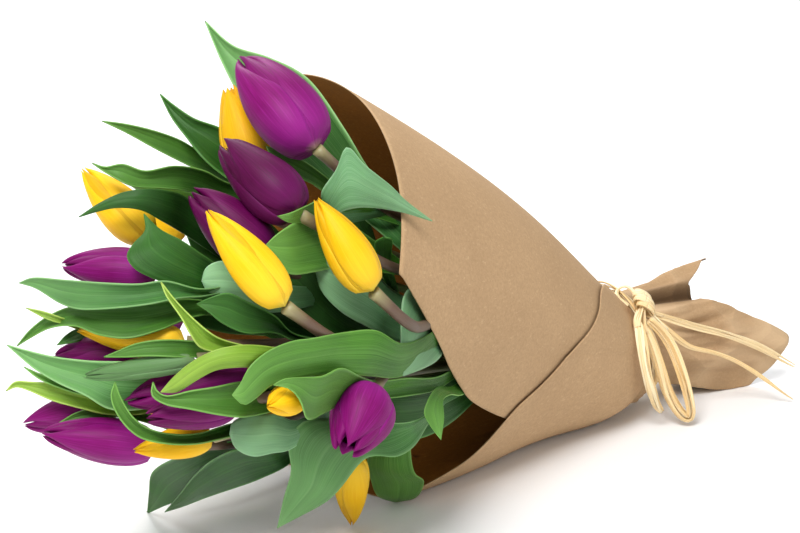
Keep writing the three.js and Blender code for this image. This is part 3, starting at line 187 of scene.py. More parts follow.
LEAVES = [
    leaf("crown", tip=(205, 21, 176), belly=-7, wave=0.6,
         left=[(222, 62, 180), (240, 97, 184), (262, 130, 186), (300, 165, 190), (330, 190, 190)],
         right=[(232, 45, 180), (270, 58, 188), (307, 78, 194), (345, 130, 198), (366, 165, 198)]),
    leaf("upper_left", tip=(160, 94, 190), belly=-4, wave=0.8,
         left=[(172, 118, 195), (187, 138, 200), (203, 158, 204), (224, 176, 204)],
         right=[(175, 106, 195), (195, 119, 197), (218, 127, 195), (245, 140, 190)]),
    leaf("thin_left", tip=(102, 121, 200), belly=-2, wave=0.6,
         left=[(125, 132, 199), (158, 150, 196), (190, 166, 190), (206, 173, 186)],
         right=[(125, 124, 199), (155, 131, 195), (180, 140, 188), (200, 152, 182)]),
    leaf("wavy_left", tip=(92, 163, 255), belly=-3, wave=1.5,
         left=[(105, 172, 257), (132, 186, 258), (160, 188, 252), (190, 192, 238), (215, 202, 226)],
         right=[(105, 167, 257), (122, 164, 258), (145, 171, 254), (175, 166, 246), (205, 171, 232),
                (226, 182, 222)]),
    leaf("arched_left", tip=(79, 217, 260), belly=3, wave=0.6,
         left=[(97, 212, 263), (118, 208, 265), (140, 210, 264), (160, 220, 256), (190, 238, 236)],
         right=[(100, 203, 263), (122, 193, 264), (145, 189, 263), (165, 190, 256), (190, 200, 236)]),
    leaf("folded_left", tip=(144, 214, 272), belly=3, wave=0.5,
         left=[(145, 231, 274), (133, 244, 275), (127, 256, 275), (134, 268, 276), (152, 278, 276),
               (176, 286, 272), (205, 292, 264)],
         right=[(160, 229, 272), (183, 241, 270), (205, 256, 262), (226, 268, 252)]),
    leaf("long_left", tip=(19, 283, 262), belly=-3, wave=0.8,
         left=[(35, 288, 266), (60, 303, 272), (80, 309, 279), (115, 308, 284), (150, 304, 284),
               (180, 298, 279), (205, 296, 272)],
         right=[(32, 278, 266), (65, 280, 272), (105, 283, 280), (140, 284, 283), (165, 281, 281),
                (205, 289, 272)]),
    leaf("broad_left", tip=(17, 346, 258), belly=-3, wave=0.8,
         left=[(30, 338, 262), (50, 328, 267), (75, 326, 275), (100, 335, 281), (130, 338, 282),
               (160, 330, 280), (185, 320, 272), (210, 315, 264)],
         right=[(30, 330, 262), (50, 315, 265), (75, 306, 270), (110, 305, 275), (150, 303, 275),
                (200, 300, 264)]),
    leaf("sliver_left", tip=(26, 308, 266), belly=-1, wave=0.3,
         left=[(45, 318, 270), (63, 324, 268), (80, 330, 256), (104, 341, 236)],
         right=[(45, 312, 270), (65, 319, 268), (82, 325, 256), (104, 335, 236)]),
    leaf("dark_sliver", tip=(57, 345, 266), belly=-1, wave=0.3,
         left=[(75, 342, 262), (92, 337, 250), (108, 340, 236)],
         right=[(66, 335, 262), (80, 328, 252), (104, 331, 238)]),
    leaf("low_left", tip=(7, 345, 264), belly=-4, wave=0.6,
         left=[(16, 353, 265), (35, 369, 267), (57, 382, 269), (85, 395, 271), (110, 409, 271),
               (150, 408, 264), (180, 400, 258)],
         right=[(25, 350, 266), (55, 357, 269), (90, 361, 272), (135, 362, 272), (175, 366, 264)]),
    leaf("curled_left", tip=(6, 391, 256), belly=-2, wave=0.5,
         left=[(16, 387, 258), (28, 390, 260), (52, 400, 261), (80, 408, 261), (107, 414, 259),
               (140, 414, 254)],
         right=[(15, 382, 258), (30, 382, 260), (60, 384, 260), (85, 388, 260), (115, 396, 256)]),
    leaf("spike_left", tip=(24, 367, 262), belly=-1, wave=0.3,
         left=[(38, 378, 264), (58, 387, 264), (90, 396, 263)],
         right=[(40, 374, 264), (60, 380, 264), (90, 385, 263)]),
    leaf("middle_left", tip=(104, 357, 286), belly=-2, wave=0.5,
         left=[(125, 357, 289), (150, 356, 291), (180, 357, 289), (205, 357, 282), (230, 357, 274)],
         right=[(118, 351, 287), (135, 344, 288), (160, 340, 288), (192, 341, 283), (225, 345, 274)]),
    leaf("yellow_green", tip=(161, 282, 292), belly=-3, wave=0.4,
         left=[(166, 295, 294), (181, 317, 297), (191, 335, 298), (200, 347, 297), (216, 352, 294),
               (245, 353, 284), (262, 357, 276)],
         right=[(176, 301, 294), (196, 321, 296), (217, 337, 294), (242, 345, 287), (262, 349, 278)]),
    leaf("dark_middle", tip=(196, 304, 272), belly=-2, wave=0.6,
         left=[(207, 311, 273), (222, 323, 273), (245, 333, 271), (275, 333, 266), (298, 342, 260)],
         right=[(212, 297, 272), (228, 293, 271), (250, 303, 270), (275, 316, 267), (295, 334, 261)]),
    leaf("light_arch", tip=(161, 392, 295), belly=4, wave=0.4,
         left=[(177, 392, 298), (197, 380, 301), (216, 370, 302), (240, 367, 299), (262, 368, 290),
               (292, 370, 276)],
         right=[(173, 378, 298), (192, 362, 301), (216, 350, 302), (242, 345, 299), (274, 347, 288),
                (298, 353, 276)]),
    leaf("hooked", tip=(153, 382, 301), belly=-4, wave=0.5,
         left=[(152, 395, 303), (165, 404, 304), (190, 409, 304), (216, 414, 301), (240, 417, 294),
               (262, 414, 276), (285, 408, 264)],
         right=[(157, 391, 302), (166, 396, 302), (190, 391, 301), (215, 387, 298), (240, 382, 290),
                (272, 384, 270)]),
    leaf("sickle", tip=(115, 382, 292), belly=-3, wave=0.3,
         left=[(111, 396, 293), (119, 417, 293), (138, 436, 290), (163, 443, 285), (195, 444, 279),
               (232, 436, 270)],
         right=[(121, 398, 293), (133, 417, 292), (150, 429, 287), (172, 434, 281), (200, 433, 273),
                (230, 424, 266)]),
    leaf("front_middle", tip=(232, 395, 301), belly=3, wave=1.2,
         left=[(244, 405, 300), (256, 398, 298), (272, 385, 293), (300, 378, 285), (335, 373, 272),
               (370, 376, 255), (402, 376, 236)],
         right=[(240, 384, 301), (250, 366, 300), (268, 351, 296), (292, 341, 290), (312, 338, 284),
                (345, 332, 270), (375, 330, 259), (402, 343, 242)]),
    leaf("front_fold", tip=(273, 385, 298), belly=-3, wave=0.8,
         left=[(290, 389, 298), (300, 400, 298), (307, 419, 293), (322, 414, 279), (338, 406, 256),
               (356, 402, 234), (405, 396, 215), (440, 388, 190)],
         right=[(284, 379, 298), (305, 377, 293), (322, 376, 287), (341, 368, 277), (360, 376, 262),
                (375, 381, 247), (405, 378, 222), (440, 376, 195)]),
    leaf("great_front", tip=(277, 528, 228), belly=3, wave=1.2,
         left=[(284, 497, 240), (291, 470, 250), (289, 443, 257), (300, 424, 258), (332, 418, 242),
               (372, 420, 226), (400, 423, 218), (424, 416, 204), (436, 396, 188), (455, 386, 164)],
         right=[(328, 500, 232), (341, 487, 238), (366, 458, 234), (398, 456, 222), (414, 446, 212),
                (428, 424, 198), (442, 406, 184), (460, 395, 160)]),
    leaf("turned_down", tip=(395, 502, 119.6), belly=5, wave=0.4,
         left=[(378, 496, 130), (371, 480, 142), (367, 462, 154), (374, 445, 162)],
         right=[(416, 497, 126), (424, 482, 132), (415, 473, 146), (411, 455, 158), (412, 440, 164)]),
    leaf("pale_edge", tip=(403, 376, 236), belly=5, wave=0.4,
         left=[(401, 350, 238), (401, 320, 236), (404, 296, 226), (420, 288, 200)],
         right=[(424, 368, 220), (436, 361, 206), (446, 346, 184), (450, 328, 168)]),
    leaf("rounded_blue", tip=(316, 270, 246), belly=4, wave=0.4,
         left=[(321, 290, 246), (340, 311, 244), (368, 327, 236), (400, 342, 218)],
         right=[(322, 255, 246), (340, 250, 242), (365, 262, 232), (393, 290, 212)]),
    leaf("behind_right", tip=(384, 237, 240), belly=-2, wave=0.4,
         left=[(375, 243, 232), (378, 265, 222), (388, 290, 206), (396, 318, 184)],
         right=[(392, 240, 232), (391, 262, 220), (400, 298, 200), (402, 324, 178)]),
    leaf("flag", tip=(432, 221, 226), belly=3, wave=0.6,
         left=[(400, 212, 234), (375, 208, 241), (357, 208, 247), (340, 213, 248), (332, 224, 242)],
         right=[(405, 200, 234), (391, 186, 240), (365, 165, 248), (347, 147, 250), (336, 170, 250),
                (321, 196, 248)]),
    leaf("curl_end", tip=(277, 216, 274), belly=1, wave=0.3,
         left=[(287, 222, 272), (303, 222, 260), (325, 214, 246)],
         right=[(290, 213, 273), (306, 206, 262), (322, 200, 248)]),
    leaf("bright_middle", tip=(266, 245, 267), belly=-2, wave=0.5,
         left=[(272, 262, 267), (290, 274, 264), (315, 272, 254), (338, 268, 242)],
         right=[(275, 236, 266), (292, 224, 262), (312, 216, 252), (335, 216, 240)]),
    leaf("narrow_top", tip=(266, 146, 224), belly=-1, wave=0.3,
         left=[(272, 158, 224), (290, 173, 222), (318, 187, 214), (340, 204, 204)],
         right=[(280, 150, 224), (302, 160, 222), (326, 177, 214), (345, 194, 204)]),
    leaf("low_dark", tip=(147, 514, 131), belly=-3, wave=0.5,
         left=[(162, 507, 146), (187, 497, 168), (210, 482, 196), (235, 464, 222), (258, 452, 236)],
         right=[(149, 492, 152), (152, 473, 168), (180, 456, 202), (205, 447, 226), (232, 441, 242)]),
    leaf("low_front", tip=(165, 512, 148), belly=-3, wave=0.5,
         left=[(182, 507, 168), (205, 498, 197), (235, 488, 225), (262, 478, 240), (288, 465, 242)],
         right=[(180, 494, 180), (196, 474, 212), (216, 458, 238), (240, 449, 253), (268, 451, 254)]),
    leaf("rounded_low", tip=(230, 434, 277), belly=5, wave=0.3,
         left=[(236, 448, 277), (252, 456, 276), (272, 453, 270), (292, 448, 258)],
         right=[(233, 422, 277), (250, 415, 276), (275, 414, 268), (296, 420, 256)]),
    leaf("rounded_pale", tip=(202, 281, 268), belly=3, wave=0.3,
         left=[(209, 294, 268), (222, 300, 266), (244, 302, 262), (268, 312, 256)],
         right=[(206, 268, 268), (220, 261, 266), (242, 266, 262), (264, 280, 256)]),
    leaf("small_left", tip=(59, 423, 256), belly=-1, wave=0.3,
         left=[(80, 421, 257), (100, 419, 256), (122, 417, 252)],
         right=[(76, 413, 257), (96, 408, 256), (120, 407, 252)]),
    leaf("pointing_down", tip=(441, 440, 216), belly=1, wave=0.4,
         left=[(431, 427, 215), (424, 413, 215), (428, 400, 212), (436, 388, 202), (452, 386, 178)],
         right=[(444, 418, 212), (443, 401, 207), (450, 395, 196), (464, 394, 172)]),
    leaf("inner_dark", tip=(286, 276, 240), belly=-2, wave=0.5,
         left=[(292, 300, 240), (310, 326, 236), (342, 340, 224)],
         right=[(302, 264, 240), (330, 288, 234), (356, 318, 222)]),
    leaf("inner_left", tip=(182, 224, 226), belly=-3, wave=0.5,
         left=[(200, 262, 226), (235, 286, 220), (272, 302, 208)],
         right=[(216, 222, 226), (250, 240, 220), (286, 264, 210)]),
    leaf("inner_middle", tip=(148, 292, 238), belly=-3, wave=0.5,
         left=[(180, 318, 240), (222, 332, 234), (272, 336, 220)],
         right=[(186, 280, 240), (232, 286, 234), (282, 300, 220)]),
    leaf("inner_right", tip=(345, 402, 205), belly=-3, wave=0.5,
         left=[(376, 436, 200), (412, 440, 186), (452, 422, 158)],
         right=[(380, 386, 203), (418, 382, 186), (458, 376, 158)]),
    leaf("far_crown", tip=(264, 112, 140), belly=3, wave=0.6,
         left=[(286, 150, 130), (310, 182, 118), (336, 202, 106)],
         right=[(298, 110, 134), (326, 140, 122), (350, 172, 108)]),
    leaf("far_upper", tip=(120, 178, 112), belly=3, wave=0.6,
         left=[(150, 198, 102), (192, 216, 92), (232, 226, 84)],
         right=[(152, 178, 112), (194, 184, 108), (236, 196, 98)]),
    leaf("far_side", tip=(98, 290, 92), belly=3, wave=0.6,
         left=[(130, 304, 84), (172, 312, 76), (216, 316, 70)],
         right=[(130, 283, 92), (172, 284, 84), (216, 286, 76)]),
    leaf("far_lower", tip=(112, 376, 122), belly=3, wave=0.6,
         left=[(142, 397, 112), (182, 410, 100), (226, 414, 90)],
         right=[(142, 372, 122), (182, 374, 112), (226, 376, 100)]),
    leaf("underside", tip=(166, 482, 152), belly=-3, wave=0.6,
         left=[(198, 492, 142), (236, 482, 128), (272, 466, 112)],
         right=[(198, 462, 152), (236, 454, 140), (272, 440, 122)]),
]

USUAL_SHADE = 0.75  # how pale most blooms are, from 0 to 1
BLOOM_SHADES = {
    "purple_upper": 0.12, "purple_middle": 0.2, "purple_frill": 0.4, "purple_tip": 0.5, "purple_front": 0.55,
    "purple_facing": 0.95, "yellow_top": 0.6, "yellow_under": 0.6,
}
# Each colour's material and slot, deep, main and light colour, foot and how far it reaches, and the light
# that passes through: its weight and its reach in red, green and blue.
PETAL_LOOKS = {
    PURPLE: ("purple_petals", (0.07, 0.0006, 0.04), (0.19, 0.002, 0.12), (0.36, 0.03, 0.31),
             (0.5, 0.46, 0.22), 0.012, (0.06, (1.0, 0.15, 0.6))),
    YELLOW: ("yellow_petals", (0.8, 0.34, 0.002), (0.9, 0.5, 0.006), (0.94, 0.64, 0.06),
             (0.7, 0.66, 0.14), 0.02, (0.15, (1.0, 0.6, 0.1))),
    GREEN: ("green_bud", (0.06, 0.15, 0.04), (0.11, 0.23, 0.08), (0.2, 0.34, 0.16),
            (0.2, 0.3, 0.14), 0.06, (0.1, (0.4, 1.0, 0.3))),
}
# Each tone's deep, main and light colour, and its lowest and highest roughness.
LEAF_LOOKS = {
    "fresh": ((0.018, 0.085, 0.006), (0.06, 0.19, 0.018), (0.2, 0.42, 0.09), (0.34, 0.5)),
    # The dark tone is partly a darker green, partly painted shade for leaves deep in and under the bouquet.
    "dark": ((0.004, 0.032, 0.003), (0.016, 0.085, 0.009), (0.09, 0.25, 0.05), (0.36, 0.5)),
    "glaucous": ((0.08, 0.22, 0.08), (0.17, 0.38, 0.17), (0.38, 0.62, 0.36), (0.45, 0.6)),
    "glaucous_green": ((0.03, 0.13, 0.025), (0.09, 0.27, 0.06), (0.28, 0.52, 0.2), (0.4, 0.55)),
    "lime": ((0.09, 0.22, 0.008), (0.19, 0.36, 0.02), (0.44, 0.6, 0.12), (0.36, 0.5)),
}
# Leaves whose colour differs from the fresh green of the others. The dark tone is partly a darker green and
# partly painted shade.
LEAF_TONES = {
    "glaucous": ["rounded_blue", "flag", "pale_edge", "rounded_pale", "rounded_low"],
    "glaucous_green": ["long_left", "low_left", "crown", "far_crown", "great_front"],
    "dark": ["inner_dark", "dark_middle", "dark_sliver", "low_dark", "inner_middle", "inner_left",
             "inner_right", "behind_right", "folded_left", "low_front", "arched_left", "upper_left"],
    "lime": ["light_arch", "yellow_green", "sliver_left", "curled_left"],
}

# ---------------------------------------------------------------- small tools

BLUR_STEPS = 7
CURVE_STEPS = 24  # between two points that a smooth curve passes through


def unit(v):
    """A vector's direction."""
    return v / np.linalg.norm(v)


def from_table(table, place, blur=0.0):
    """Reads a short table of (place, value) pairs, with its corners rounded over blur."""
    places, values = np.array(table, dtype=float).T
    shifts = np.linspace(-blur, blur, BLUR_STEPS) if blur else [0.0]
    return np.mean([np.interp(place + shift, places, values) for shift in shifts], axis=0)


def catmull(points, count):
    """count points along a smooth curve through the given ones, evenly spaced along its length."""
    points = [np.asarray(p, dtype=float) for p in points]
    first = 2 * points[0] - points[1]
    last = 2 * points[-1] - points[-2]
    chain = [first, *points, last]
    dense = []
    share = np.linspace(0, 1, CURVE_STEPS, endpoint=False)[:, None]
    for p0, p1, p2, p3 in zip(chain, chain[1:], chain[2:], chain[3:]):
        step = [max(np.linalg.norm(b - a), 1e-4) ** 0.5 for a, b in ((p0, p1), (p1, p2), (p2, p3))]
        m1 = (p1 - p0) / step[0] - (p2 - p0) / (step[0] + step[1]) + (p2 - p1) / step[1]
        m2 = (p2 - p1) / step[1] - (p3 - p1) / (step[1] + step[2]) + (p3 - p2) / step[2]
        m1, m2 = m1 * step[1], m2 * step[1]
        a = 2 * p1 - 2 * p2 + m1 + m2
        b = -3 * p1 + 3 * p2 - 2 * m1 - m2
        dense.append(a * share**3 + b * share**2 + m1 * share + p1)
    dense = np.vstack([*dense, points[-1][None]])
    return resample(dense, count)


def resample(points, count):
    """count points, evenly spaced along the line through the given ones."""
    points = np.asarray(points)
    along = np.concatenate([[0], np.cumsum(np.linalg.norm(np.diff(points, axis=0), axis=1))])
    places = np.linspace(0, along[-1], count)
    return np.stack([np.interp(places, along, points[:, k]) for k in range(3)], axis=1)


def length_of(points):
    return float(np.sum(np.linalg.norm(np.diff(points, axis=0), axis=1)))


def bump(x):
    """Rises from 0 to 1 at x = 1 and dies away again."""
    return (x * np.exp(1 - x)) ** 2


def ridge(x):
    """A zigzag between -1 and 1, with a period of 1: the shape of folded paper."""
    return 4 * np.abs(x - np.floor(x + 0.5)) - 1


# ---------------------------------------------------------------- meshes


class Shape:
    """Collects grids of points into one mesh, with a UV map (u across, v along) and shades at its corners."""

    def __init__(self):
        self.points = []
        self.faces = []
        self.uvs = []
        self.shades = []

    def add(self, grid, shade=0.5, closed=False, caps=False):
        rows, columns = grid.shape[:2]
        start = len(self.points)
        self.points.extend(grid.reshape(-1, 3))
        shades = np.broadcast_to(shade, (rows, columns)).tolist()
        across = columns if closed else columns - 1
        for j in range(rows - 1):
            for i in range(across):
                k = (i + 1) % columns
                self.faces.append([start + j * columns + i, start + j * columns + k,
                                   start + (j + 1) * columns + k, start + (j + 1) * columns + i])
                us = (i / across, (i + 1) / across)
                vs = (j / (rows - 1), (j + 1) / (rows - 1))
                self.uvs.extend([(us[0], vs[0]), (us[1], vs[0]), (us[1], vs[1]), (us[0], vs[1])])
                self.shades.extend([shades[j][i], shades[j][k], shades[j + 1][k], shades[j + 1][i]])
        if caps:
            for row, turn in ((0, -1), (rows - 1, 1)):
                ring = [start + row * columns + i for i in range(columns)][::turn]
                self.faces.append(ring)
                self.uvs.extend([(0.5, float(row > 0))] * columns)
                self.shades.extend(shades[row])

    def build(self, name, material, thickness=0.0):
        mesh = bpy.data.meshes.new(name)
        points = np.array(self.points) * MM + SHIFT
        points[:, 2] = np.maximum(points[:, 2], thickness * MM / 2)  # nothing sinks into the surface
        mesh.from_pydata(points.tolist(), [], self.faces)
        uv_layer = mesh.uv_layers.new(name="UVMap")
        uv_layer.data.foreach_set("uv", np.array(self.uvs, dtype=float).ravel())
        shade = mesh.attributes.new("shade", "FLOAT", "CORNER")
        shade.data.foreach_set("value", np.array(self.shades, dtype=float))
        mesh.polygons.foreach_set("use_smooth", [True] * len(mesh.polygons))
        mesh.materials.append(material)
        mesh.validate()
        piece = bpy.data.objects.new(name, mesh)
        bpy.context.scene.collection.objects.link(piece)
        if thickness:
            solidify = piece.modifiers.new("thickness", "SOLIDIFY")
            solidify.thickness = thickness * MM
            solidify.offset = 0
        return piece


def dress(piece, slot, *nodes):
    """A piece that stands for CAD nodes rides on the part, and those nodes are hidden; slot is not used."""
    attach(piece, "root")
    if nodes:
        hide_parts(*nodes)
    return piece


def frames_along(path, up=UP):
    """Two directions across a path at each of its points, turning as little as they can."""
    along = np.gradient(path, axis=0)
    along /= np.linalg.norm(along, axis=1)[:, None]
    side = unit(np.cross(along[0], up))
    sides = []
    for direction in along:
        side = unit(side - direction * side.dot(direction))
        sides.append(side)
    sides = np.array(sides)
    return sides, np.cross(along, sides)


def tube_grid(path, radii, sides=12):
    """A grid round a path, with a radius at each of its points."""
    first, second = frames_along(path)
    turns = np.linspace(0, 2 * math.pi, sides, endpoint=False)
    rings = first[:, None] * np.cos(turns)[None, :, None] + second[:, None] * np.sin(turns)[None, :, None]
    return path[:, None] + rings * np.broadcast_to(radii, len(path))[:, None, None]


# ---------------------------------------------------------------- where the frame has the tie


def around_cone(angle, along, radius):
    """Points that far along the axis, negative in the tail, and radius mm off it. Takes arrays.
    Angle 0 is the near side, 90 the top, 180 the far side and 270 the bottom."""
    turn = np.radians(angle)
    tail = np.asarray(along < 0)[..., None]
    tilt = np.where(tail, TAIL_TILT, CONE_TILT)
    over = np.concatenate([np.sin(tilt), np.zeros_like(tilt), np.cos(tilt)], axis=-1)
    axis = np.where(tail, TAIL_AXIS, AXIS)
    out = NEAR * np.cos(turn)[..., None] + over * np.sin(turn)[..., None]
    return TIE + axis * np.abs(along)[..., None] + out * np.asarray(radius)[..., None]


def band_ring(depth, place, steps=24):
    """A ring of the raffia band: depth is the share of its depth, place that of its width, -0.5 to 0.5."""
    radius = BAND_RADIUS + BAND_DEPTH * depth + BAND_FLARE * max(2 * place, 0)
    turns = np.arange(steps) * 2 * math.pi / steps
    near, over = radius * np.sin(turns), -radius * np.cos(turns)
    along = BAND_WIDTH * place + NECK_LEAN * over / BAND_RADIUS
    return TIE + near[:, None] * NEAR + over[:, None] * OVER + along[:, None] * AXIS


def tie_in_frame():
    """How far the frame's band of raffia is from where it is made here, in metres."""
    profile = [(0, -0.5), (0.8, -0.5), (1, -0.2), (1, 0.2), (0.8, 0.5), (0, 0.5)]
    here = np.vstack([band_ring(depth, place) for depth, place in profile]) * MM
    low, high = (np.array(corner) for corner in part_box("raffia_band"))
    return (low + high) / 2 - (here.min(axis=0) + here.max(axis=0)) / 2


SHIFT = tie_in_frame()

# ---------------------------------------------------------------- the paper

# Angles of the sheet's two edges, in degrees, by distance from the tie.
INNER_EDGE = [
    (-110, -110), (0, -76), (60, -54), (100, -42), (132, -28), (150, -22), (174, -14), (195, -4), (212, 5),
    (232, 14), (251, 22),
]
OUTER_EDGE = [
    (-110, 118), (-60, 110), (0, 84), (30, 60), (54, 42), (67, 24), (78, 14), (90, 6), (101, -4), (113, -13),
    (131, -24), (142, -44), (166, -57), (250, -100),
]
# Distance of the mouth's rim and of the tail's end from the tie, from the inner edge (0) to the outer (1).
RIM = [(0, 251), (0.1, 245), (0.24, 241), (0.4, 249), (0.6, 240), (0.75, 222), (0.9, 186), (1, 166)]
TAIL_END = [
    (0, 70), (0.1, 74), (0.24, 62), (0.34, 56), (0.4, 60), (0.5, 84), (0.6, 74), (0.67, 70), (0.7, 76),
    (0.745, 97), (0.785, 107), (0.852, 77), (0.893, 60), (0.93, 55), (0.955, 56), (1, 84),
]
# The folds of the tail: the angle and radius of each corner at its end. The paper is flat between them.
TAIL_FOLDS = [
    (-90, 38), (-58, 46), (-15, 31), (24, 23), (48, 27), (60, 22), (71, 12), (82, 28), (104, 37), (116, 36),
    (150, 30), (190, 36), (225, 35), (270, 38),
]
TAIL_REACH = 85  # the folds have their full radius at this distance
# How far the paper stands off a plain cone.
SHOULDER_SWELL = 11
BELLY_SWELL = 8
CROWN_SWELL = 6
CROWN_RISE = 4
UNDERSIDE_SAG = 9
PAPER_COLUMNS = 300
PAPER_ROWS = 190
SHEET_THICKNESS = 0.5  # of the paper that shows


def folded(corners, angle):
    """Radius at each angle of a loop of flat folds from corner to corner."""
    turns, radii = np.array(corners, dtype=float).T
    turns = np.radians(turns)
    this = np.radians(angle)
    k = np.clip(np.searchsorted(turns, this, side="right") - 1, 0, len(turns) - 2)
    low, high = radii[k], radii[k + 1]
    return low * high * np.sin(turns[k + 1] - turns[k]) / (
        low * np.sin(this - turns[k]) + high * np.sin(turns[k + 1] - this))


def paper_radius(angle, along):
    """Radius of the sheet's first turn: flat folds in the tail, pleats at the tie, a full cone beyond."""
    around = np.mod(angle + 90, 360) - 90
    pleats = np.sin(np.radians(9 * around))
    slack = np.minimum(np.maximum(-along, 0) / TAIL_REACH, 1.2)
    drop = np.maximum(-np.sin(np.radians(around)), 0) ** 2  # the underside falls to the surface at once
    creases = ridge(around / 33 + 0.5 * slack) + 0.6 * ridge(around / 17 - 1.2 * slack + 0.2)
    tail_radius = NECK_RADIUS + (folded(TAIL_FOLDS, around) - NECK_RADIUS) * slack ** (1.2 - 0.7 * drop)
    tail_radius += pleats * 0.6 * (1.2 - slack) + creases * (0.3 + 0.7 * np.sin(2.6 * slack))
    out = np.maximum(along, 0)
    cone = NECK_RADIUS + (MOUTH_RADIUS - NECK_RADIUS) * out / CONE_LENGTH
    shoulder = SHOULDER_SWELL * bump(out / 34) * np.exp(-(((around + 50) / 60) ** 2))
    belly = BELLY_SWELL * np.exp(-(((around + 74) / 34) ** 2)) * np.exp(-(((out - 135) / 60) ** 2))
    top = np.maximum(np.sin(np.radians(around)), 0) ** 0.7
    share = out / CONE_LENGTH
    crown = (CROWN_SWELL * np.sin(np.pi * np.minimum(share, 1)) + CROWN_RISE * share) * top
    sag = UNDERSIDE_SAG * np.maximum(-np.sin(np.radians(around)), 0) ** 3 * np.minimum(out / 110, 1)
    gathers = (0.5 * pleats + 0.5 * ridge(around / 19)) * np.exp(-out / 40)
    drift = 0.6 * np.sin(np.radians(3 * around + 1.1 * out)) * np.minimum(out / 120, 1)
    cone_radius = cone + shoulder + belly + crown + sag + gathers + drift
    return np.where(along < 0, tail_radius, cone_radius)


def settled(height):
    """Height above the surface, flattened where the paper would sink into it."""
    floor = PAPER_THICKNESS / 2
    above = height - floor
    eased = floor + (above + FLAT_BAND) ** 2 / (4 * FLAT_BAND)
    return np.where(above <= -FLAT_BAND, floor, np.where(above >= FLAT_BAND, height, eased))


def fold_shade(angle, along):
    """How deep a place lies in the fold between the tail's upper flap and the rest, from 0 to 1: the painted
    shade there.
    """
    around = np.mod(angle + 90, 360) - 90
    return np.exp(-(((around - 75) / 12) ** 2)) * np.clip(-along / 25, 0, 1)


def paper_grid():
    """Points of the sheet, and how deep in a fold each lies, which sets the painted shade there."""
    u = np.linspace(0, 1, PAPER_COLUMNS)[None, :]
    v = np.linspace(0, 1, PAPER_ROWS)[:, None]
    tail_end = from_table(TAIL_END, u, 0.004)
    rim = from_table(RIM, u, 0.02)
    level = np.where(v < TIE_ROW, -tail_end * (1 - v / TIE_ROW),
                     rim * (np.maximum(v - TIE_ROW, 0) / (1 - TIE_ROW)) ** 1.5)
    start = from_table(INNER_EDGE, level, 5)
    end = 360 + from_table(OUTER_EDGE, level, 5)
    angle = start + (end - start) * u
    layer = PAPER_PITCH * (angle - start) / 360
    lean = NECK_LEAN * np.sin(np.radians(angle)) * np.exp(-((level / LEAN_REACH) ** 2))
    points = around_cone(angle, level + lean, paper_radius(angle, level) + layer)
    points[..., 2] = settled(points[..., 2])
    return points, fold_shade(angle, level)


def make_paper():
    points, depth = paper_grid()
    outside = paper_material("kraft_outside", OUTSIDE, 0)
    inside = paper_material("kraft_inside_shaded", INSIDE_SHADED, INSIDE_SHADE_AT_TIE)
    shape = Shape()
    # The mesh's shade is the painted shade deep in the tail's fold.
    shape.add(points, shade=depth)
    piece = shape.build("paper_wrap", outside, thickness=SHEET_THICKNESS)
    piece.data.materials.append(inside)
    # The far side of the sheet gets the inside's darker kraft: painted shade.
    piece.modifiers["thickness"].material_offset = 1  # the far side of the sheet has the second material
    dress(piece, "kraft_paper", "kraft_paper")


# ---------------------------------------------------------------- blooms

PETAL_COLUMNS = 17
PETAL_ROWS = 30
PETAL_THICKNESS = 0.5
# How far petals lie inside the bloom's surface, as a share of its radius.
INNER_INSET = 0.12
OUTER_INSET = 0.012  # from one outer petal to the next


def bloom_profile(t, open, blunt):
    """Half the width of a bloom at t of its height, as a share of the widest."""
    shut = np.sin(np.pi * np.minimum(t, 1) ** (0.62 + 0.08 * blunt)) ** (0.75 - 0.27 * blunt)
    spread = t**3 * (4 - 3 * t)
    return np.maximum(shut, 0.1 * t) * (1 - open * spread) + 0.62 * open * spread


def petal_grid(bloom, turn, reach, height, inset, draw):
    """A petal: turn and reach are the angle of its middle and half its width in degrees, height is its share
    of the bloom's, inset how far inside the bloom's surface it lies. Its unevenness is drawn from draw."""
    axis = bloom["tip"] - bloom["base"]
    length = np.linalg.norm(axis)
    axis = axis / length
    side = unit(np.cross(TO_VIEWER, axis))
    front = -np.cross(axis, side)
    t = np.linspace(0, 1, PETAL_ROWS)[:, None] ** 0.8
    s = np.linspace(-1, 1, PETAL_COLUMNS)[None, :]
    lift = draw.uniform(-1, 1)
    twist = draw.uniform(-6, 6)
    curl = draw.uniform(0.2, 1)
    half = reach * (0.7 + 0.3 * np.sin(np.pi * np.minimum(t * 1.1, 1) ** 0.8)) * (1 - t**14) ** 0.5
    angle = np.radians(bloom["spin"] + turn + half * s + twist * t**2)
    profile = bloom_profile(t, bloom["open"], bloom["blunt"])
    tuck = 1 - inset - (0.1 + 0.05 * np.sin(np.pi * t)) * np.abs(s) ** 2.4
    rib = -0.03 * np.exp(-((s / 0.12) ** 2)) * t * (1 - t)
    lip = 0.045 * curl * np.maximum(np.abs(s) - 0.75, 0) / 0.25 * np.sin(np.pi * t) ** 2
    ruffle = 0.02 * np.sin(6 * s + 4 * t + 3 * lift) * t**2
    radius = bloom["width"] / 2 * (profile * (tuck + rib + lip + ruffle) + 0.03 * lift * t**4)
    rounding = (0.06 + 0.12 * bloom["blunt"]) * s**2 * t**3
    rise = length * (height * t * (1 - rounding) + 0.012 * lift * t**5)
    return (bloom["base"] + axis * rise[..., None] + front * (radius * np.cos(angle))[..., None]
            + side * (radius * np.sin(angle))[..., None])


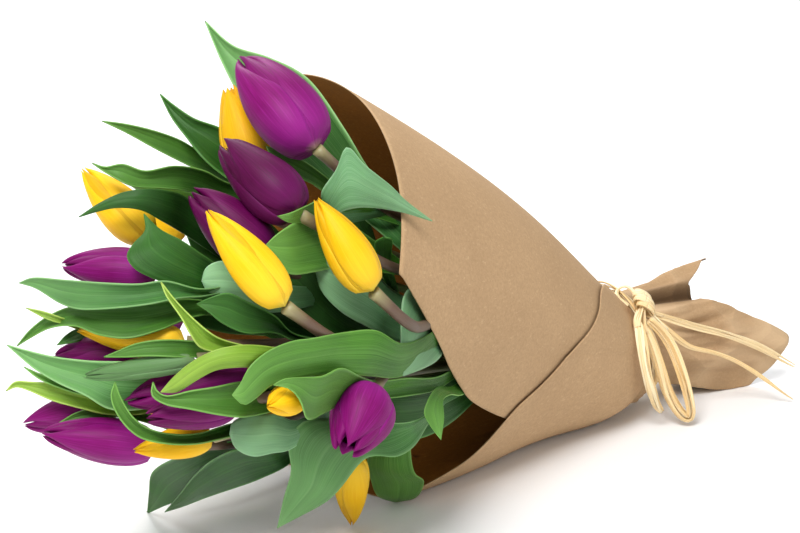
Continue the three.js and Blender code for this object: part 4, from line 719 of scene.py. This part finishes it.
def make_bloom(bloom, materials):
    """Three inner petals and, over the gaps between them, three outer ones."""
    draw = random.Random(bloom["name"])
    shape = Shape()
    paleness = BLOOM_SHADES.get(bloom["name"], USUAL_SHADE)
    # Painted shade: the inner petals are darker than the outer ones.
    for k in range(3):
        shape.add(petal_grid(bloom, 120 * k + 60 + draw.uniform(-5, 5), draw.uniform(54, 60),
                             draw.uniform(0.96, 0.99), INNER_INSET, draw),
                  shade=paleness - draw.uniform(0.1, 0.25))
    for k in range(3):
        shape.add(petal_grid(bloom, 120 * k + draw.uniform(-4, 4), draw.uniform(60, 66),
                             draw.uniform(0.96, 1.0), OUTER_INSET * k, draw),
                  shade=paleness + draw.uniform(-0.1, 0.1))
    name = bloom["name"] if bloom["colour"] == GREEN else f"{bloom['name']}_bloom"
    piece = shape.build(f"petals_{bloom['name']}", materials[bloom["colour"]], thickness=PETAL_THICKNESS)
    dress(piece, PETAL_LOOKS[bloom["colour"]][0], name)


# ---------------------------------------------------------------- stems

STEM_SAMPLES = 81  # points of a stem's way from which its levels are read
STEM_ROWS = 90
STEM_SIDES = 14
SPREAD_ROUNDS = 80


def along_cone(point):
    """How far a point is from the tie, along the cone's axis."""
    return float((point - TIE).dot(AXIS))


def neck_slots(count):
    """The stems stand in the neck as close as they pack, in a six-sided pattern round the axis."""
    slots = [(STEM_PITCH * (column + row / 2), STEM_PITCH * row * math.sqrt(3) / 2)
             for row in range(-4, 5) for column in range(-4, 5)]

    def size(slot):
        return math.floor(math.hypot(*slot) * 1000 + 0.5) + (math.atan2(slot[1], slot[0]) + math.pi) / 7

    return sorted(slots, key=size)[:count]


def assign_slots(bases):
    """Gives every stem the slot on its own side, by swapping slots as long as that helps."""
    slots = neck_slots(len(bases))
    headings = [((base - TIE).dot(NEAR) / along_cone(base), (base - TIE).dot(OVER) / along_cone(base))
                for base in bases]

    def match(slot, heading):
        return slot[0] * heading[0] + slot[1] * heading[1]

    swapped = True
    while swapped:
        swapped = False
        for i in range(len(slots)):
            for j in range(i + 1, len(slots)):
                kept = match(slots[i], headings[i]) + match(slots[j], headings[j])
                crossed = match(slots[j], headings[i]) + match(slots[i], headings[j])
                if crossed > kept + 1e-6:
                    slots[i], slots[j] = slots[j], slots[i]
                    swapped = True
    return slots


def bezier(corners, count):
    """count points along a cubic curve from the first corner to the last."""
    t = np.linspace(0, 1, count)[:, None]
    a, b, c, d = corners
    return a * (1 - t) ** 3 + 3 * b * t * (1 - t) ** 2 + 3 * c * t**2 * (1 - t) + d * t**3


def stem_way(bloom, slot):
    """A stem's way from its slot in the neck to its bloom: its place off the axis at every level."""
    heading = unit(bloom["tip"] - bloom["base"])
    neck = TIE + NEAR * slot[0] + OVER * slot[1]
    reach = np.linalg.norm(neck - bloom["base"])
    last = bloom["base"] - heading * 2 * GAP
    corners = [neck, neck + AXIS * reach * 0.25, bloom["base"] - heading * reach * 0.16, last]
    samples = resample(bezier(corners, 201), STEM_SAMPLES)
    levels = []
    along = 0
    while along < along_cone(last) - STEM_LEVEL * 0.4:
        sample = next(s for s in samples if along_cone(s) >= along - 1e-6)
        levels.append([(sample - TIE).dot(NEAR), (sample - TIE).dot(OVER)])
        along += STEM_LEVEL
    return {"bloom": bloom, "levels": levels, "last": last, "leaves": 0}


def keep_in_paper(place, along):
    """Pulls a stem's place off the axis in, where the paper lies round it at this level."""
    angle = (math.degrees(math.atan2(place[1], place[0])) + 90) % 360 - 90
    covered = angle > from_table(INNER_EDGE, along) or angle < from_table(OUTER_EDGE, along)
    limit = float(paper_radius(np.array(angle), np.array(along))) - PAPER_THICKNESS - STEM_RADIUS - 2
    radius = math.hypot(*place)
    if covered and along <= CONE_LENGTH - 10 and radius > limit:
        place[0] *= limit / radius
        place[1] *= limit / radius


def push_apart(one, other):
    """Pushes two places that are too close apart, each by a quarter of what is missing."""
    away = [one[0] - other[0], one[1] - other[1]]
    distance = math.hypot(*away)
    if distance < STEM_CLEARANCE:
        push = (STEM_CLEARANCE - distance) / 4 / max(distance, 0.1)
        for side in (0, 1):
            one[side] += push * away[side]
            other[side] -= push * away[side]


def spread_stems(ways):
    """Pushes stems that come too close apart, level by level, and evens out the bends that this makes."""
    for _ in range(SPREAD_ROUNDS):
        for one in ways:
            for other in ways:
                if one is other:
                    continue
                for k in range(1, min(len(one["levels"]), len(other["levels"]))):
                    push_apart(one["levels"][k], other["levels"][k])
        for way in ways:
            levels = way["levels"]
            for k in range(1, len(levels)):
                if k < len(levels) - 1:
                    for side in (0, 1):
                        even = (levels[k - 1][side] + levels[k + 1][side]) / 2
                        levels[k][side] += (even - levels[k][side]) * 0.08
                keep_in_paper(levels[k], k * STEM_LEVEL)


def stem_points(way):
    """The points that a stem passes through, from its cut end in the tail to its bloom."""
    near, over = way["levels"][0]
    cut_end = TIE + TAIL_AXIS * STEM_END + NEAR * near * 0.85 + UP * over * 0.85
    points = [TIE + AXIS * k * STEM_LEVEL + NEAR * a + OVER * b for k, (a, b) in enumerate(way["levels"])]
    return [cut_end, *points, way["last"]]


def make_stem(way, material):
    """A stem, a little thicker where it carries its bloom, with a flat cut end."""
    path = catmull(way["points"], STEM_ROWS)
    t = np.linspace(0, 1, len(path))
    uneven = 0.05 * np.sin(9 * t + way["bloom"]["spin"])
    swell = STEM_RADIUS * (0.92 + uneven + 0.22 * np.exp(-((1 - t) / 0.02)))
    name = way["bloom"]["name"]
    shape = Shape()
    shape.add(tube_grid(path, swell, STEM_SIDES), shade=0.5, closed=True, caps=True)
    dress(shape.build(f"stem_{name}", material), "stems_and_leaves", f"{name}_leafy_stem")


# ---------------------------------------------------------------- leaves

LEAF_COLUMNS = 13
LEAF_ROWS = 64
LEAF_SHEET = 0.6  # thickness of the leaf that shows
LEAF_FOOT = 2.2  # half its width where it joins the stem
RIB_DEPTH = 0.5
MARGIN_RISE = 0.9


def find_root(blade, ways):
    """The stem that passes closest behind the hidden end of a leaf, and the point on it where it grows."""
    level = max(along_cone(blade["heel"]) - LEAF_ROOT, 60)
    best = None
    for way in ways:
        if way["leaves"] >= LEAVES_PER_STEM:
            continue
        points = way["points"]
        after = next((k for k in range(1, len(points)) if along_cone(points[k]) >= level), None)
        if after is None:
            continue
        low, high = along_cone(points[after - 1]), along_cone(points[after])
        point = points[after - 1] + (points[after] - points[after - 1]) * (level - low) / (high - low)
        distance = np.linalg.norm(point - blade["heel"])
        if best is None or distance < best[0]:
            best = (distance, way, point)
    return best[1], best[2]


def leaf_grid(blade, root):
    """A leaf between its two edges, from its root on a stem to its tip, with a rib and raised margins."""
    left, right = blade["left"][::-1], blade["right"][::-1]
    across = unit(right[0] - left[0]) * LEAF_FOOT
    left_edge = catmull([root - across, *left, blade["tip"]], LEAF_ROWS)[:, None]
    right_edge = catmull([root + across, *right, blade["tip"]], LEAF_ROWS)[:, None]
    u = np.linspace(0, 1, LEAF_COLUMNS)[None, :]
    v = np.linspace(0, 1, LEAF_ROWS)[:, None]
    middle = 4 * u * (1 - u) * np.sin(np.pi * v) ** 0.7
    ripple = (2 * u - 1) * np.sin(v * 22 + blade["phase"]) * np.sin(np.pi * v)
    rib = -RIB_DEPTH * np.exp(-(((u - 0.5) / 0.07) ** 2)) * np.sin(np.pi * v) ** 0.6
    lip = MARGIN_RISE * np.abs(2 * u - 1) ** 9 * np.sin(np.pi * v)
    out = blade["belly"] * middle + blade["wave"] * ripple + rib + lip
    return left_edge * (1 - u[..., None]) + right_edge * u[..., None] + TO_VIEWER * out[..., None]


def make_leaf(blade, ways, materials):
    way, root = find_root(blade, ways)
    way["leaves"] += 1
    shape = Shape()
    shape.add(leaf_grid(blade, root), shade=random.random())
    tone = next((tone for tone, names in LEAF_TONES.items() if blade["name"] in names), "fresh")
    piece = shape.build(f"leaf_{blade['name']}", materials[tone], thickness=LEAF_SHEET)
    dress(piece, "stems_and_leaves", f"{way['bloom']['name']}_leafy_stem")


# ---------------------------------------------------------------- raffia

# Each bundle that hangs from the knot: its name, far end and width, how many fibres it has and how wide they
# are, and its route.
RAFFIA = [
    ("raffia_loop_outer", "object", 7, 12, 2.2, [
        (643, 325, 38), (650, 340, 40), (660, 367, 38), (668, 393, 33), (682, 416, 28), (691, 421, 26),
        (690, 400, 30), (682, 370, 34), (671, 344, 36), (658, 327, 40), (649, 320, 42),
    ]),
    ("raffia_loop_inner", "object", 6.5, 9, 2.0, [
        (637, 321, 43), (640, 334, 50), (644, 356, 53), (649, 382, 47), (655, 402, 37), (662, 412, 30),
    ]),
    ("raffia_end_upper", "bare", 4.6, 4, 1.9, [
        (652, 313, 27), (668, 318, 20), (698, 327, 8), (728, 335, -3), (759, 347, -18), (795, 366, -36),
    ]),
    ("raffia_end_lower", "bare", 4.6, 3, 2.0, [
        (654, 318, 36), (673, 334, 28), (690, 346, 19), (713, 352, 10), (736, 361, 3), (759, 375, -3),
        (780, 390, -6), (793, 400, -9),
    ]),
]
RIBBON_THICKNESS = 0.3
EASING = 5  # rounds of averaging that soften the turns of a bundle
PATH_STEP = 2.2  # between the points of its path
SURFACE_GAP = 0.2  # between a bundle's solid and the surface
FIBRE_INSET = 0.9  # of a bundle's outermost fibres
WRAPS = 11  # fibres round the neck, side by side
WRAP_STEPS = 120
WRAP_CROWN = 0.3
KNOT_TURNS = 3
KNOT_STEPS = 49
KNOT_SPACING = 3.2  # between its turns
KNOT_LENGTH = 5.6  # half its length along the neck
KNOT_CROWN = 0.45
KNOT_SHIFT = 1.5  # towards the flowers, from where the part has it
ROOT_INSET = 1.2  # of the fibres that come out of the knot
ROOT_STEPS = 24
ROOT_SHOWN = 20  # of those steps


def crowned(path, half, crown):
    """A strip along a path, half to either side of it, and raised by crown along its middle."""
    return np.stack([path - half, path - half / 2 + crown, path + half / 2 + crown, path + half], axis=1)


def ribbon_grid(path, first, second, width, turns, twist, taper):
    """A flat fibre along a path: turns is the angle that its width faces, twist how far that turns."""
    t = np.linspace(0, 1, len(path))
    angle = turns + twist * t
    across = first * np.cos(angle)[:, None] + second * np.sin(angle)[:, None]
    crown = 0.12 * width * (second * np.cos(angle)[:, None] - first * np.sin(angle)[:, None])
    half = (width / 2) * (0.8 + 0.2 * np.sin(11 * t + turns))
    if taper:
        half = half * np.minimum(1, (1.02 - t) / 0.16) ** 0.7
    half = half[:, None]
    return crowned(path, across * half, crown)


def bundle(path, fibres, spread, width, draw, taper=False):
    """Grids of the flat fibres that wind loosely about a path, drawn together at its ends."""
    first, second = frames_along(path, TO_VIEWER)
    t = np.linspace(0, 1, len(path))
    gather = 0.5 + 0.5 * np.sin(np.pi * t) ** 0.5
    for k in range(fibres):
        turn = 2 * math.pi * k / fibres + draw.uniform(-0.4, 0.4)
        angle = turn + draw.uniform(-1.6, 1.6) * t + 0.3 * np.sin(9 * t + turn)
        radius = spread * draw.uniform(0.55, 1) * (0.85 + 0.15 * np.sin(7 * t + 2 * turn)) * gather
        offset = (first * (radius * 1.35 * np.cos(angle))[:, None]
                  + second * (radius * 0.6 * np.sin(angle))[:, None])
        yield ribbon_grid(path + offset, first, second, width * draw.uniform(0.75, 1.15),
                          draw.uniform(-0.5, 0.5), draw.uniform(-1.2, 1.2), taper)


def kept_above(floor, path):
    """A path, raised where it would run lower than floor."""
    path = path.copy()
    path[:, 2] = np.maximum(path[:, 2], floor)
    return path


def eased(path):
    """A path with its sharp turns rounded off."""
    path = path.copy()
    for _ in range(EASING):
        path[1:-1] = (path[:-2] + 2 * path[1:-1] + path[2:]) / 4
    return path


def make_raffia(name, far_end, diameter, fibres, width, route, material):
    """A bundle of fibres. width is that of one fibre, diameter the bundle's."""
    lowest = RAFFIA_RADIUS + SURFACE_GAP
    corners = kept_above(lowest, np.array([in_photo(place) for place in route]))
    count = max(30, int(length_of(corners) / PATH_STEP))
    path = kept_above(lowest, eased(catmull(list(corners), count)))
    draw = random.Random(name)
    shape = Shape()
    for grid in bundle(path, fibres, diameter / 2 - FIBRE_INSET, width, draw, taper=far_end == "bare"):
        grid[..., 2] = np.maximum(grid[..., 2], RIBBON_THICKNESS)
        shape.add(grid, shade=draw.random())
    piece = dress(shape.build(f"fibres_{name}", material, thickness=RIBBON_THICKNESS), "raffia", name)
    points = path * MM + SHIFT
    tuple(points[0])
    round(length_of(points), 4)
    [tuple(p) for p in points]


def make_band(material):
    """The fibres wound round the neck, side by side."""
    draw = random.Random("band")
    shape = Shape()
    t = np.linspace(0, 2 * math.pi, WRAP_STEPS, endpoint=False)
    for k in range(WRAPS):
        place = 0.8 * ((k + 0.5) / WRAPS - 0.5)
        path = band_ring(draw.uniform(-1.2, 0.4), place, WRAP_STEPS)
        path = path + AXIS * (0.7 * np.sin(2 * t + 1.7 * k) + draw.uniform(-0.3, 0.3))[:, None]
        path = np.vstack([path, path[:1]])
        out = np.array([unit(p - TIE) for p in path])
        half = draw.uniform(0.9, 1.5) * (1 + 0.2 * np.sin(5 * np.append(t, 0) + k))[:, None]
        shape.add(np.stack([path - AXIS * half, path + out * WRAP_CROWN, path + AXIS * half], axis=1),
                  shade=draw.random())
    dress(shape.build("raffia_wraps", material, thickness=RIBBON_THICKNESS), "raffia", "raffia_band")


# The small loop that stands up beside the knot.
KNOT_LOOP = [
    (628, 306, 32), (617, 297, 30), (617, 290, 27), (625, 286, 26), (633, 291, 29), (637, 302, 34),
]


def make_knot(material):
    """The knot: a broad fibre wound over the band, the fibres that come out of it, and a small loop."""
    centre = around_cone(np.array(KNOT_ANGLE), np.array(KNOT_ALONG), KNOT_RADIUS) + AXIS * KNOT_SHIFT
    out = unit(centre - TIE)
    side = unit(np.cross(AXIS, out))
    draw = random.Random("knot")
    shape = Shape()
    turns = np.linspace(0, 2 * math.pi, KNOT_STEPS)
    for k in range(KNOT_TURNS):
        shift = (k - 1) * KNOT_SPACING
        swell = 1.05 - 0.1 * (k - 1) ** 2 + draw.uniform(-0.04, 0.04)
        lean = draw.uniform(2.4, 4)
        ring = (centre + np.outer(np.cos(turns), out) * KNOT_HEIGHT * swell
                + np.outer(np.sin(turns), AXIS) * KNOT_LENGTH * swell
                + side * shift + np.outer(np.sin(turns), side) * lean)
        facing = np.array([unit(p - centre - side * shift) for p in ring])
        across = np.array([unit(np.cross(a, f)) for a, f in zip(np.gradient(ring, axis=0), facing)])
        half = draw.uniform(2.3, 2.8)
        shape.add(crowned(ring, across * half, facing * KNOT_CROWN), shade=draw.random())
    for _, _, diameter, fibres, width, route in RAFFIA:
        start = [centre - out * 2 - side * 3, centre - out, in_photo(route[0]), in_photo(route[1])]
        for grid in bundle(catmull(start, ROOT_STEPS), fibres, diameter / 2 - ROOT_INSET, width, draw):
            shape.add(grid[:ROOT_SHOWN], shade=draw.random())
    loop = catmull([in_photo(place) for place in KNOT_LOOP], 40)
    for grid in bundle(loop, fibres=3, spread=0.8, width=1.7, draw=draw):
        shape.add(grid, shade=draw.random())
    dress(shape.build("raffia_knot_fibres", material, thickness=RIBBON_THICKNESS), "raffia", "raffia_knot")


# ---------------------------------------------------------------- materials


class Nodes:
    """A material and short calls that add nodes to it."""

    def __init__(self, name, roughness):
        self.material = bpy.data.materials.new(name)
        self.material.use_nodes = True
        self.tree = self.material.node_tree
        self.shader = self.tree.nodes["Principled BSDF"]
        self.shader.inputs["Roughness"].default_value = roughness
        coordinates = self.node("ShaderNodeTexCoord").outputs
        self.place = coordinates["Object"]
        self.uv_map = coordinates["UV"]

    def node(self, kind, **values):
        made = self.tree.nodes.new(kind)
        for key, value in values.items():
            setattr(made, key, value)
        return made

    def link(self, source, target):
        self.tree.links.new(source, target)

    def stretched(self, source, scale):
        """Coordinates, scaled."""
        mapping = self.node("ShaderNodeMapping")
        mapping.inputs["Scale"].default_value = scale
        self.link(source, mapping.inputs["Vector"])
        return mapping.outputs["Vector"]

    def texture(self, kind, output, vector, **values):
        """The output of a texture node with these values on its inputs."""
        made = self.node(kind)
        for key, value in values.items():
            made.inputs[key].default_value = value
        self.link(vector, made.inputs["Vector"])
        return made.outputs[output]

    def noise(self, vector, scale, detail, roughness=0.55):
        return self.texture("ShaderNodeTexNoise", "Fac", vector,
                            Scale=scale, Detail=detail, Roughness=roughness)

    def streaks(self, across, along, detail, roughness=0.55):
        """Noise that varies this often across and along the piece's own UV map."""
        return self.noise(self.stretched(self.uv_map, (across, along, 1)), 1.0, detail, roughness)

    def cells(self, vector, scale):
        """Distance from the middles of scattered cells: flat facets with creases between them."""
        return self.texture("ShaderNodeTexVoronoi", "Distance", vector, Scale=scale)

    def ramp(self, source, stops):
        """A colour for each (place, colour); a plain number is a grey."""
        made = self.node("ShaderNodeValToRGB")
        elements = made.color_ramp.elements
        while len(elements) < len(stops):
            elements.new(0.5)
        for element, (place, colour) in zip(elements, stops):
            element.position = place
            element.color = (*(colour if isinstance(colour, tuple) else [colour] * 3), 1)
        self.link(source, made.inputs["Fac"])
        return made.outputs["Color"]

    def mix(self, fac, one, other, blend="MIX"):
        """Mixes two colours; fac, one and other are sockets or plain values."""
        made = self.node("ShaderNodeMix", data_type="RGBA", blend_type=blend)
        factor = next(i for i in made.inputs if i.name == "Factor")
        colours = [i for i in made.inputs if i.type == "RGBA"]
        for socket, value in zip((factor, *colours), (fac, one, other)):
            if isinstance(value, bpy.types.NodeSocket):
                self.link(value, socket)
            else:
                socket.default_value = (*value, 1) if isinstance(value, tuple) else value
        return next(o for o in made.outputs if o.type == "RGBA")

    def maths(self, operation, one, other=0.0):
        made = self.node("ShaderNodeMath", operation=operation)
        for k, value in enumerate((one, other)):
            if isinstance(value, bpy.types.NodeSocket):
                self.link(value, made.inputs[k])
            else:
                made.inputs[k].default_value = value
        return made.outputs["Value"]

    def times(self, one, other):
        return self.maths("MULTIPLY", one, other)

    def uv(self):
        """The u and v of the piece's own UV map."""
        parts = self.node("ShaderNodeSeparateXYZ")
        self.link(self.uv_map, parts.inputs["Vector"])
        return parts.outputs["X"], parts.outputs["Y"]

    def off_middle(self, u):
        """0 along the middle of the piece, 1 at its margins."""
        return self.maths("ABSOLUTE", self.maths("SUBTRACT", self.times(u, 2.0), 1.0))

    def shade(self):
        """The shade that the piece's mesh carries."""
        return self.node("ShaderNodeAttribute", attribute_name="shade").outputs["Fac"]

    def colour(self, source):
        self.link(source, self.shader.inputs["Base Color"])

    def tinted(self, source, dark, full=1.0):
        """The colour source, which turns darker as the mesh's shade goes from full down to 0."""
        tint = self.ramp(self.shade(), [(0.0, dark), (full, 1.0)])
        self.colour(self.mix(1.0, source, tint, "MULTIPLY"))

    def rough(self, source, low, high):
        spread = self.node("ShaderNodeMapRange")
        spread.inputs["To Min"].default_value = low
        spread.inputs["To Max"].default_value = high
        self.link(source, spread.inputs["Value"])
        self.link(spread.outputs["Result"], self.shader.inputs["Roughness"])

    def bumps(self, *layers):
        """Bump from (height, strength, distance in mm) layers, one over the other."""
        normal = None
        for height, strength, distance in layers:
            made = self.node("ShaderNodeBump")
            made.inputs["Strength"].default_value = strength
            made.inputs["Distance"].default_value = distance * MM
            self.link(height, made.inputs["Height"])
            if normal is not None:
                self.link(normal, made.inputs["Normal"])
            normal = made.outputs["Normal"]
        self.link(normal, self.shader.inputs["Normal"])

    def glow(self, weight, radius):
        """Light that passes a little way through, as in petals and leaves."""
        self.shader.inputs["Subsurface Weight"].default_value = weight
        self.shader.inputs["Subsurface Radius"].default_value = radius
        self.shader.inputs["Subsurface Scale"].default_value = 1.5 * MM

    def gloss(self, level):
        """How strongly the surface reflects, beside the usual 0.5."""
        self.shader.inputs["Specular IOR Level"].default_value = level


def petal_material(name, deep, main, light, foot, foot_reach, glow):
    """Silky petal: streaks along it, paler margins, paler below, with a greenish foot at the stem."""
    n = Nodes(name, 0.5)
    u, v = n.uv()
    streaks = n.streaks(46, 2.2, 4, 0.6)
    broad = n.streaks(7, 1.6, 2)
    body = n.ramp(streaks, [(0.25, deep), (0.55, main), (0.85, light)])
    body = n.mix(n.times(broad, 0.7), body, main)
    body = n.mix(n.times(n.maths("POWER", n.off_middle(u), 9.0), 0.4), body, light)
    body = n.mix(n.ramp(v, [(0.0, 0.45), (0.35, 0)]), body, light)
    uneven = n.maths("ADD", v, n.times(streaks, 0.6 * foot_reach))
    near_foot = n.ramp(uneven, [(0.0, 1), (0.5 * foot_reach, 0.6), (1.6 * foot_reach, 0)])
    body = n.mix(n.times(near_foot, 0.85), body, foot)
    n.tinted(body, (0.36, 0.26, 0.3), 0.8)
    n.rough(streaks, 0.42, 0.6)
    n.gloss(0.15)
    n.bumps((streaks, 0.35, 0.12), (broad, 0.3, 0.35))
    n.glow(*glow)
    return n.material


def leaf_material(name, deep, main, light, rough):
    """Waxy leaf: veins along it, a paler rib, margins and tip, and painted shade that darkens it towards the
    stem.
    """
    n = Nodes(name, 0.42)
    u, v = n.uv()
    veins = n.streaks(60, 1.2, 3, 0.7)
    bands = n.streaks(5, 1.6, 2)
    patches = n.noise(n.place, 30.0, 3)
    body = n.ramp(n.mix(0.5, patches, bands), [(0.36, deep), (0.62, main)])
    body = n.mix(n.ramp(veins, [(0.42, 0), (0.75, 0.45)]), body, light)
    body = n.mix(n.ramp(n.off_middle(u), [(0.0, 0.3), (0.05, 0), (0.92, 0), (1.0, 0.9)]), body, light)
    body = n.mix(n.ramp(v, [(0.0, 0), (0.55, 0), (0.95, 0.4), (1.0, 0.7)]), body, light)
    # Painted shade: darker towards the root, deep in the bouquet.
    body = n.mix(n.ramp(v, [(0.0, 0.8), (0.5, 0)]), body, deep)
    n.tinted(body, (0.66, 0.7, 0.66))
    n.rough(patches, *rough)
    n.gloss(0.2)
    n.bumps((veins, 0.5, 0.25), (bands, 0.3, 0.6))
    n.glow(0.1, (0.3, 1.0, 0.1))
    return n.material


def stem_material():
    """Green stem that turns brownish under its bloom."""
    n = Nodes("stem", 0.48)
    _, v = n.uv()
    streaks = n.streaks(24, 14, 3)
    body = n.ramp(v, [(0.0, (0.07, 0.14, 0.03)), (0.6, (0.05, 0.1, 0.02)), (0.85, (0.08, 0.05, 0.03)),
                      (0.97, (0.11, 0.06, 0.035)), (1.0, (0.3, 0.27, 0.12))])
    n.colour(n.mix(n.times(streaks, 0.3), body, (0.15, 0.11, 0.075)))
    n.bumps((streaks, 0.3, 0.2))
    n.glow(0.1, (0.4, 1.0, 0.2))
    return n.material


# Kraft paper's dark, main and light brown: outside, and inside, where the browns are darker and more
# saturated: painted shade, and painted light coming through the sheet.
OUTSIDE = ((0.33, 0.205, 0.105), (0.5, 0.33, 0.18), (0.64, 0.46, 0.28))
INSIDE_SHADED = ((0.14, 0.045, 0.003), (0.26, 0.1, 0.012), (0.36, 0.17, 0.04))
DEEP_BROWN = (0.05, 0.022, 0.006)  # where no light comes
# Painted shade inside the cone: how far it deepens towards that brown from the mouth down to the tie.
INSIDE_SHADE_AT_TIE = 0.95  # how far it goes towards that brown from the mouth down to the tie


def paper_material(name, tones, shade_at_tie):
    """Kraft paper: pulp, fibres, clouds and faint ribs across the sheet, a dented tail, painted shade, and
    paler creases that are partly painted highlight.
    """
    dark, main, light = tones
    n = Nodes(name, 0.82)
    _, v = n.uv()
    crumple_and_shade = n.ramp(v, [(0.0, 1), (0.8 * TIE_ROW, 0.8), (1.3 * TIE_ROW, 0.04)])
    dents_and_painted_highlights = n.times(n.cells(n.place, 34.0), crumple_and_shade)
    pulp = n.noise(n.place, 700.0, 4, 0.7)
    fibres = n.noise(n.stretched(n.place, (160, 700, 700)), 1.0, 3, 0.7)
    clouds = n.noise(n.place, 26.0, 3)
    waves = n.node("ShaderNodeTexWave", wave_type="BANDS", bands_direction="Y")
    waves.inputs["Scale"].default_value = 130.0
    waves.inputs["Distortion"].default_value = 0.6
    n.link(n.uv_map, waves.inputs["Vector"])
    ribs = waves.outputs["Fac"]
    body = n.mix(n.ramp(clouds, [(0.3, 0.3), (0.7, 0)]), main, dark)
    body = n.mix(n.ramp(pulp, [(0.35, 0.5), (0.62, 0)]), body, dark)
    body = n.mix(n.ramp(fibres, [(0.58, 0), (0.75, 0.55)]), body, light)
    body = n.mix(n.times(ribs, 0.08), body, dark)
    # Painted shade: the tail, where the paper crumples, is darker.
    body = n.mix(n.times(crumple_and_shade, 0.3), body, dark)
    # The creases are paler: partly kraft's own paler crease lines, partly painted highlights.
    body = n.mix(n.ramp(dents_and_painted_highlights, [(0.4, 0), (0.75, 0.5)]), body, light)
    # Painted shade inside the cone, deeper towards the tie; none on the outside.
    body = n.mix(n.ramp(v, [(TIE_ROW, shade_at_tie), (0.85, 0)]), body, DEEP_BROWN)
    # Painted shade: near-black brown deep in the tail's fold, by the mesh's shade.
    n.colour(n.mix(n.times(n.shade(), 0.9), body, DEEP_BROWN))
    n.rough(pulp, 0.74, 0.92)
    n.gloss(0.2)
    n.bumps((dents_and_painted_highlights, 0.8, 9.0), (pulp, 0.25, 0.12), (fibres, 0.2, 0.15), (clouds, 0.25, 1.2),
            (ribs, 0.05, 0.08))
    return n.material


def raffia_material():
    """Dry palm fibre: straw-coloured, with fine lines along it."""
    n = Nodes("raffia", 0.6)
    lines = n.streaks(9, 1.5, 3, 0.7)
    body = n.ramp(lines, [(0.3, (0.68, 0.47, 0.22)), (0.45, (0.9, 0.73, 0.43)), (0.65, (0.98, 0.9, 0.67))])
    n.tinted(body, (0.86, 0.7, 0.5))
    n.bumps((lines, 0.5, 0.2))
    n.glow(0.1, (1.0, 0.7, 0.4))
    return n.material


# ---------------------------------------------------------------- camera, light and floor

MIDDLE = (-0.05, 0, 0.1)  # what most lights are turned to
# Each light's name, place, diameter, watts, and what it is turned to.
LIGHTS = [
    ("key", (-1.0, -0.7, 1.7), 0.9, 42, MIDDLE),
    ("fill", (0.9, -1.6, 0.9), 1.2, 4, MIDDLE),
    ("back", (0.3, 1.3, 1.4), 1.0, 12, MIDDLE),
    ("floor_light", (0.6, 3.2, 3), 3.0, 75, (0.3, 2.2, 0)),
]
SKY_LIGHT = 0.5
SENSOR_WIDTH = 36  # mm
VIEW_REACH = 20  # metres
FLOOR_HALF = 6  # metres
FLOOR_TONE = 0.9


def make_camera():
    camera = bpy.data.cameras.new("camera")
    camera.sensor_width = SENSOR_WIDTH
    camera.lens = VIEW_FOCAL * SENSOR_WIDTH / VIEW_WIDTH
    camera.clip_end = VIEW_REACH
    holder = bpy.data.objects.new("camera", camera)
    aside = (VIEW_TIE[0] - VIEW_CENTRE[0]) * VIEW_DISTANCE / VIEW_FOCAL
    below = (VIEW_TIE[1] - VIEW_CENTRE[1]) * VIEW_DISTANCE / VIEW_FOCAL
    place = TIE + TO_VIEWER * VIEW_DISTANCE - VIEW_RIGHT * aside + VIEW_UP * below
    turn = Matrix(np.stack([VIEW_RIGHT, VIEW_UP, TO_VIEWER], axis=1).tolist())
    holder.matrix_world = Matrix.Translation(place * MM + SHIFT) @ turn.to_4x4()
    bpy.context.scene.collection.objects.link(holder)
    bpy.context.scene.camera = holder


def make_light(name, place, size, power, aim):
    light = bpy.data.lights.new(name, "AREA")
    light.shape = "DISK"
    light.size = size
    light.energy = power
    holder = bpy.data.objects.new(name, light)
    holder.location = place
    holder.rotation_euler = (Vector(aim) - Vector(place)).to_track_quat("-Z", "Y").to_euler()
    bpy.context.scene.collection.objects.link(holder)


def floor_material():
    """An even pale ground."""
    n = Nodes("floor", 0.7)
    n.colour(n.ramp(n.noise(n.place, 3.0, 2), [(0.0, FLOOR_TONE), (1.0, 1.02 * FLOOR_TONE)]))
    return n.material


def make_stage():
    mesh = bpy.data.meshes.new("floor")
    corners = [(x * FLOOR_HALF, y * FLOOR_HALF, 0) for x, y in ((-1, -1), (1, -1), (1, 1), (-1, 1))]
    mesh.from_pydata(corners, [], [(0, 1, 2, 3)])
    mesh.materials.append(floor_material())
    floor = bpy.data.objects.new("floor", mesh)
    bpy.context.scene.collection.objects.link(floor)
    floor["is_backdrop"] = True
    world = bpy.data.worlds.new("world")
    world.use_nodes = True
    background = world.node_tree.nodes["Background"]
    background.inputs["Color"].default_value = (1, 1, 1, 1)
    background.inputs["Strength"].default_value = SKY_LIGHT
    bpy.context.scene.world = world
    bpy.context.scene.view_settings.view_transform = "Standard"
    for light in LIGHTS:
        make_light(*light)


# ---------------------------------------------------------------- the bouquet

make_camera()
make_stage()

raffia_look = raffia_material()
for strand in RAFFIA:
    make_raffia(*strand, raffia_look)
make_band(raffia_look)
make_knot(raffia_look)
make_paper()

petal_looks = {colour: petal_material(*look) for colour, look in PETAL_LOOKS.items()}
leaf_looks = {tone: leaf_material(f"leaf_{tone}", *look) for tone, look in LEAF_LOOKS.items()}
stem_look = stem_material()

slots = assign_slots([bloom["base"] for bloom in TULIPS])
stem_ways = [stem_way(bloom, slot) for bloom, slot in zip(TULIPS, slots)]
spread_stems(stem_ways)
for stem in stem_ways:
    stem["points"] = stem_points(stem)
    make_stem(stem, stem_look)
for bloom in TULIPS:
    make_bloom(bloom, petal_looks)
for blade in sorted(LEAVES, key=lambda blade: -blade["nearness"]):
    make_leaf(blade, stem_ways, leaf_looks)

boxes = [[list(corner) for corner in box] for box in (cad_box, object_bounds())]
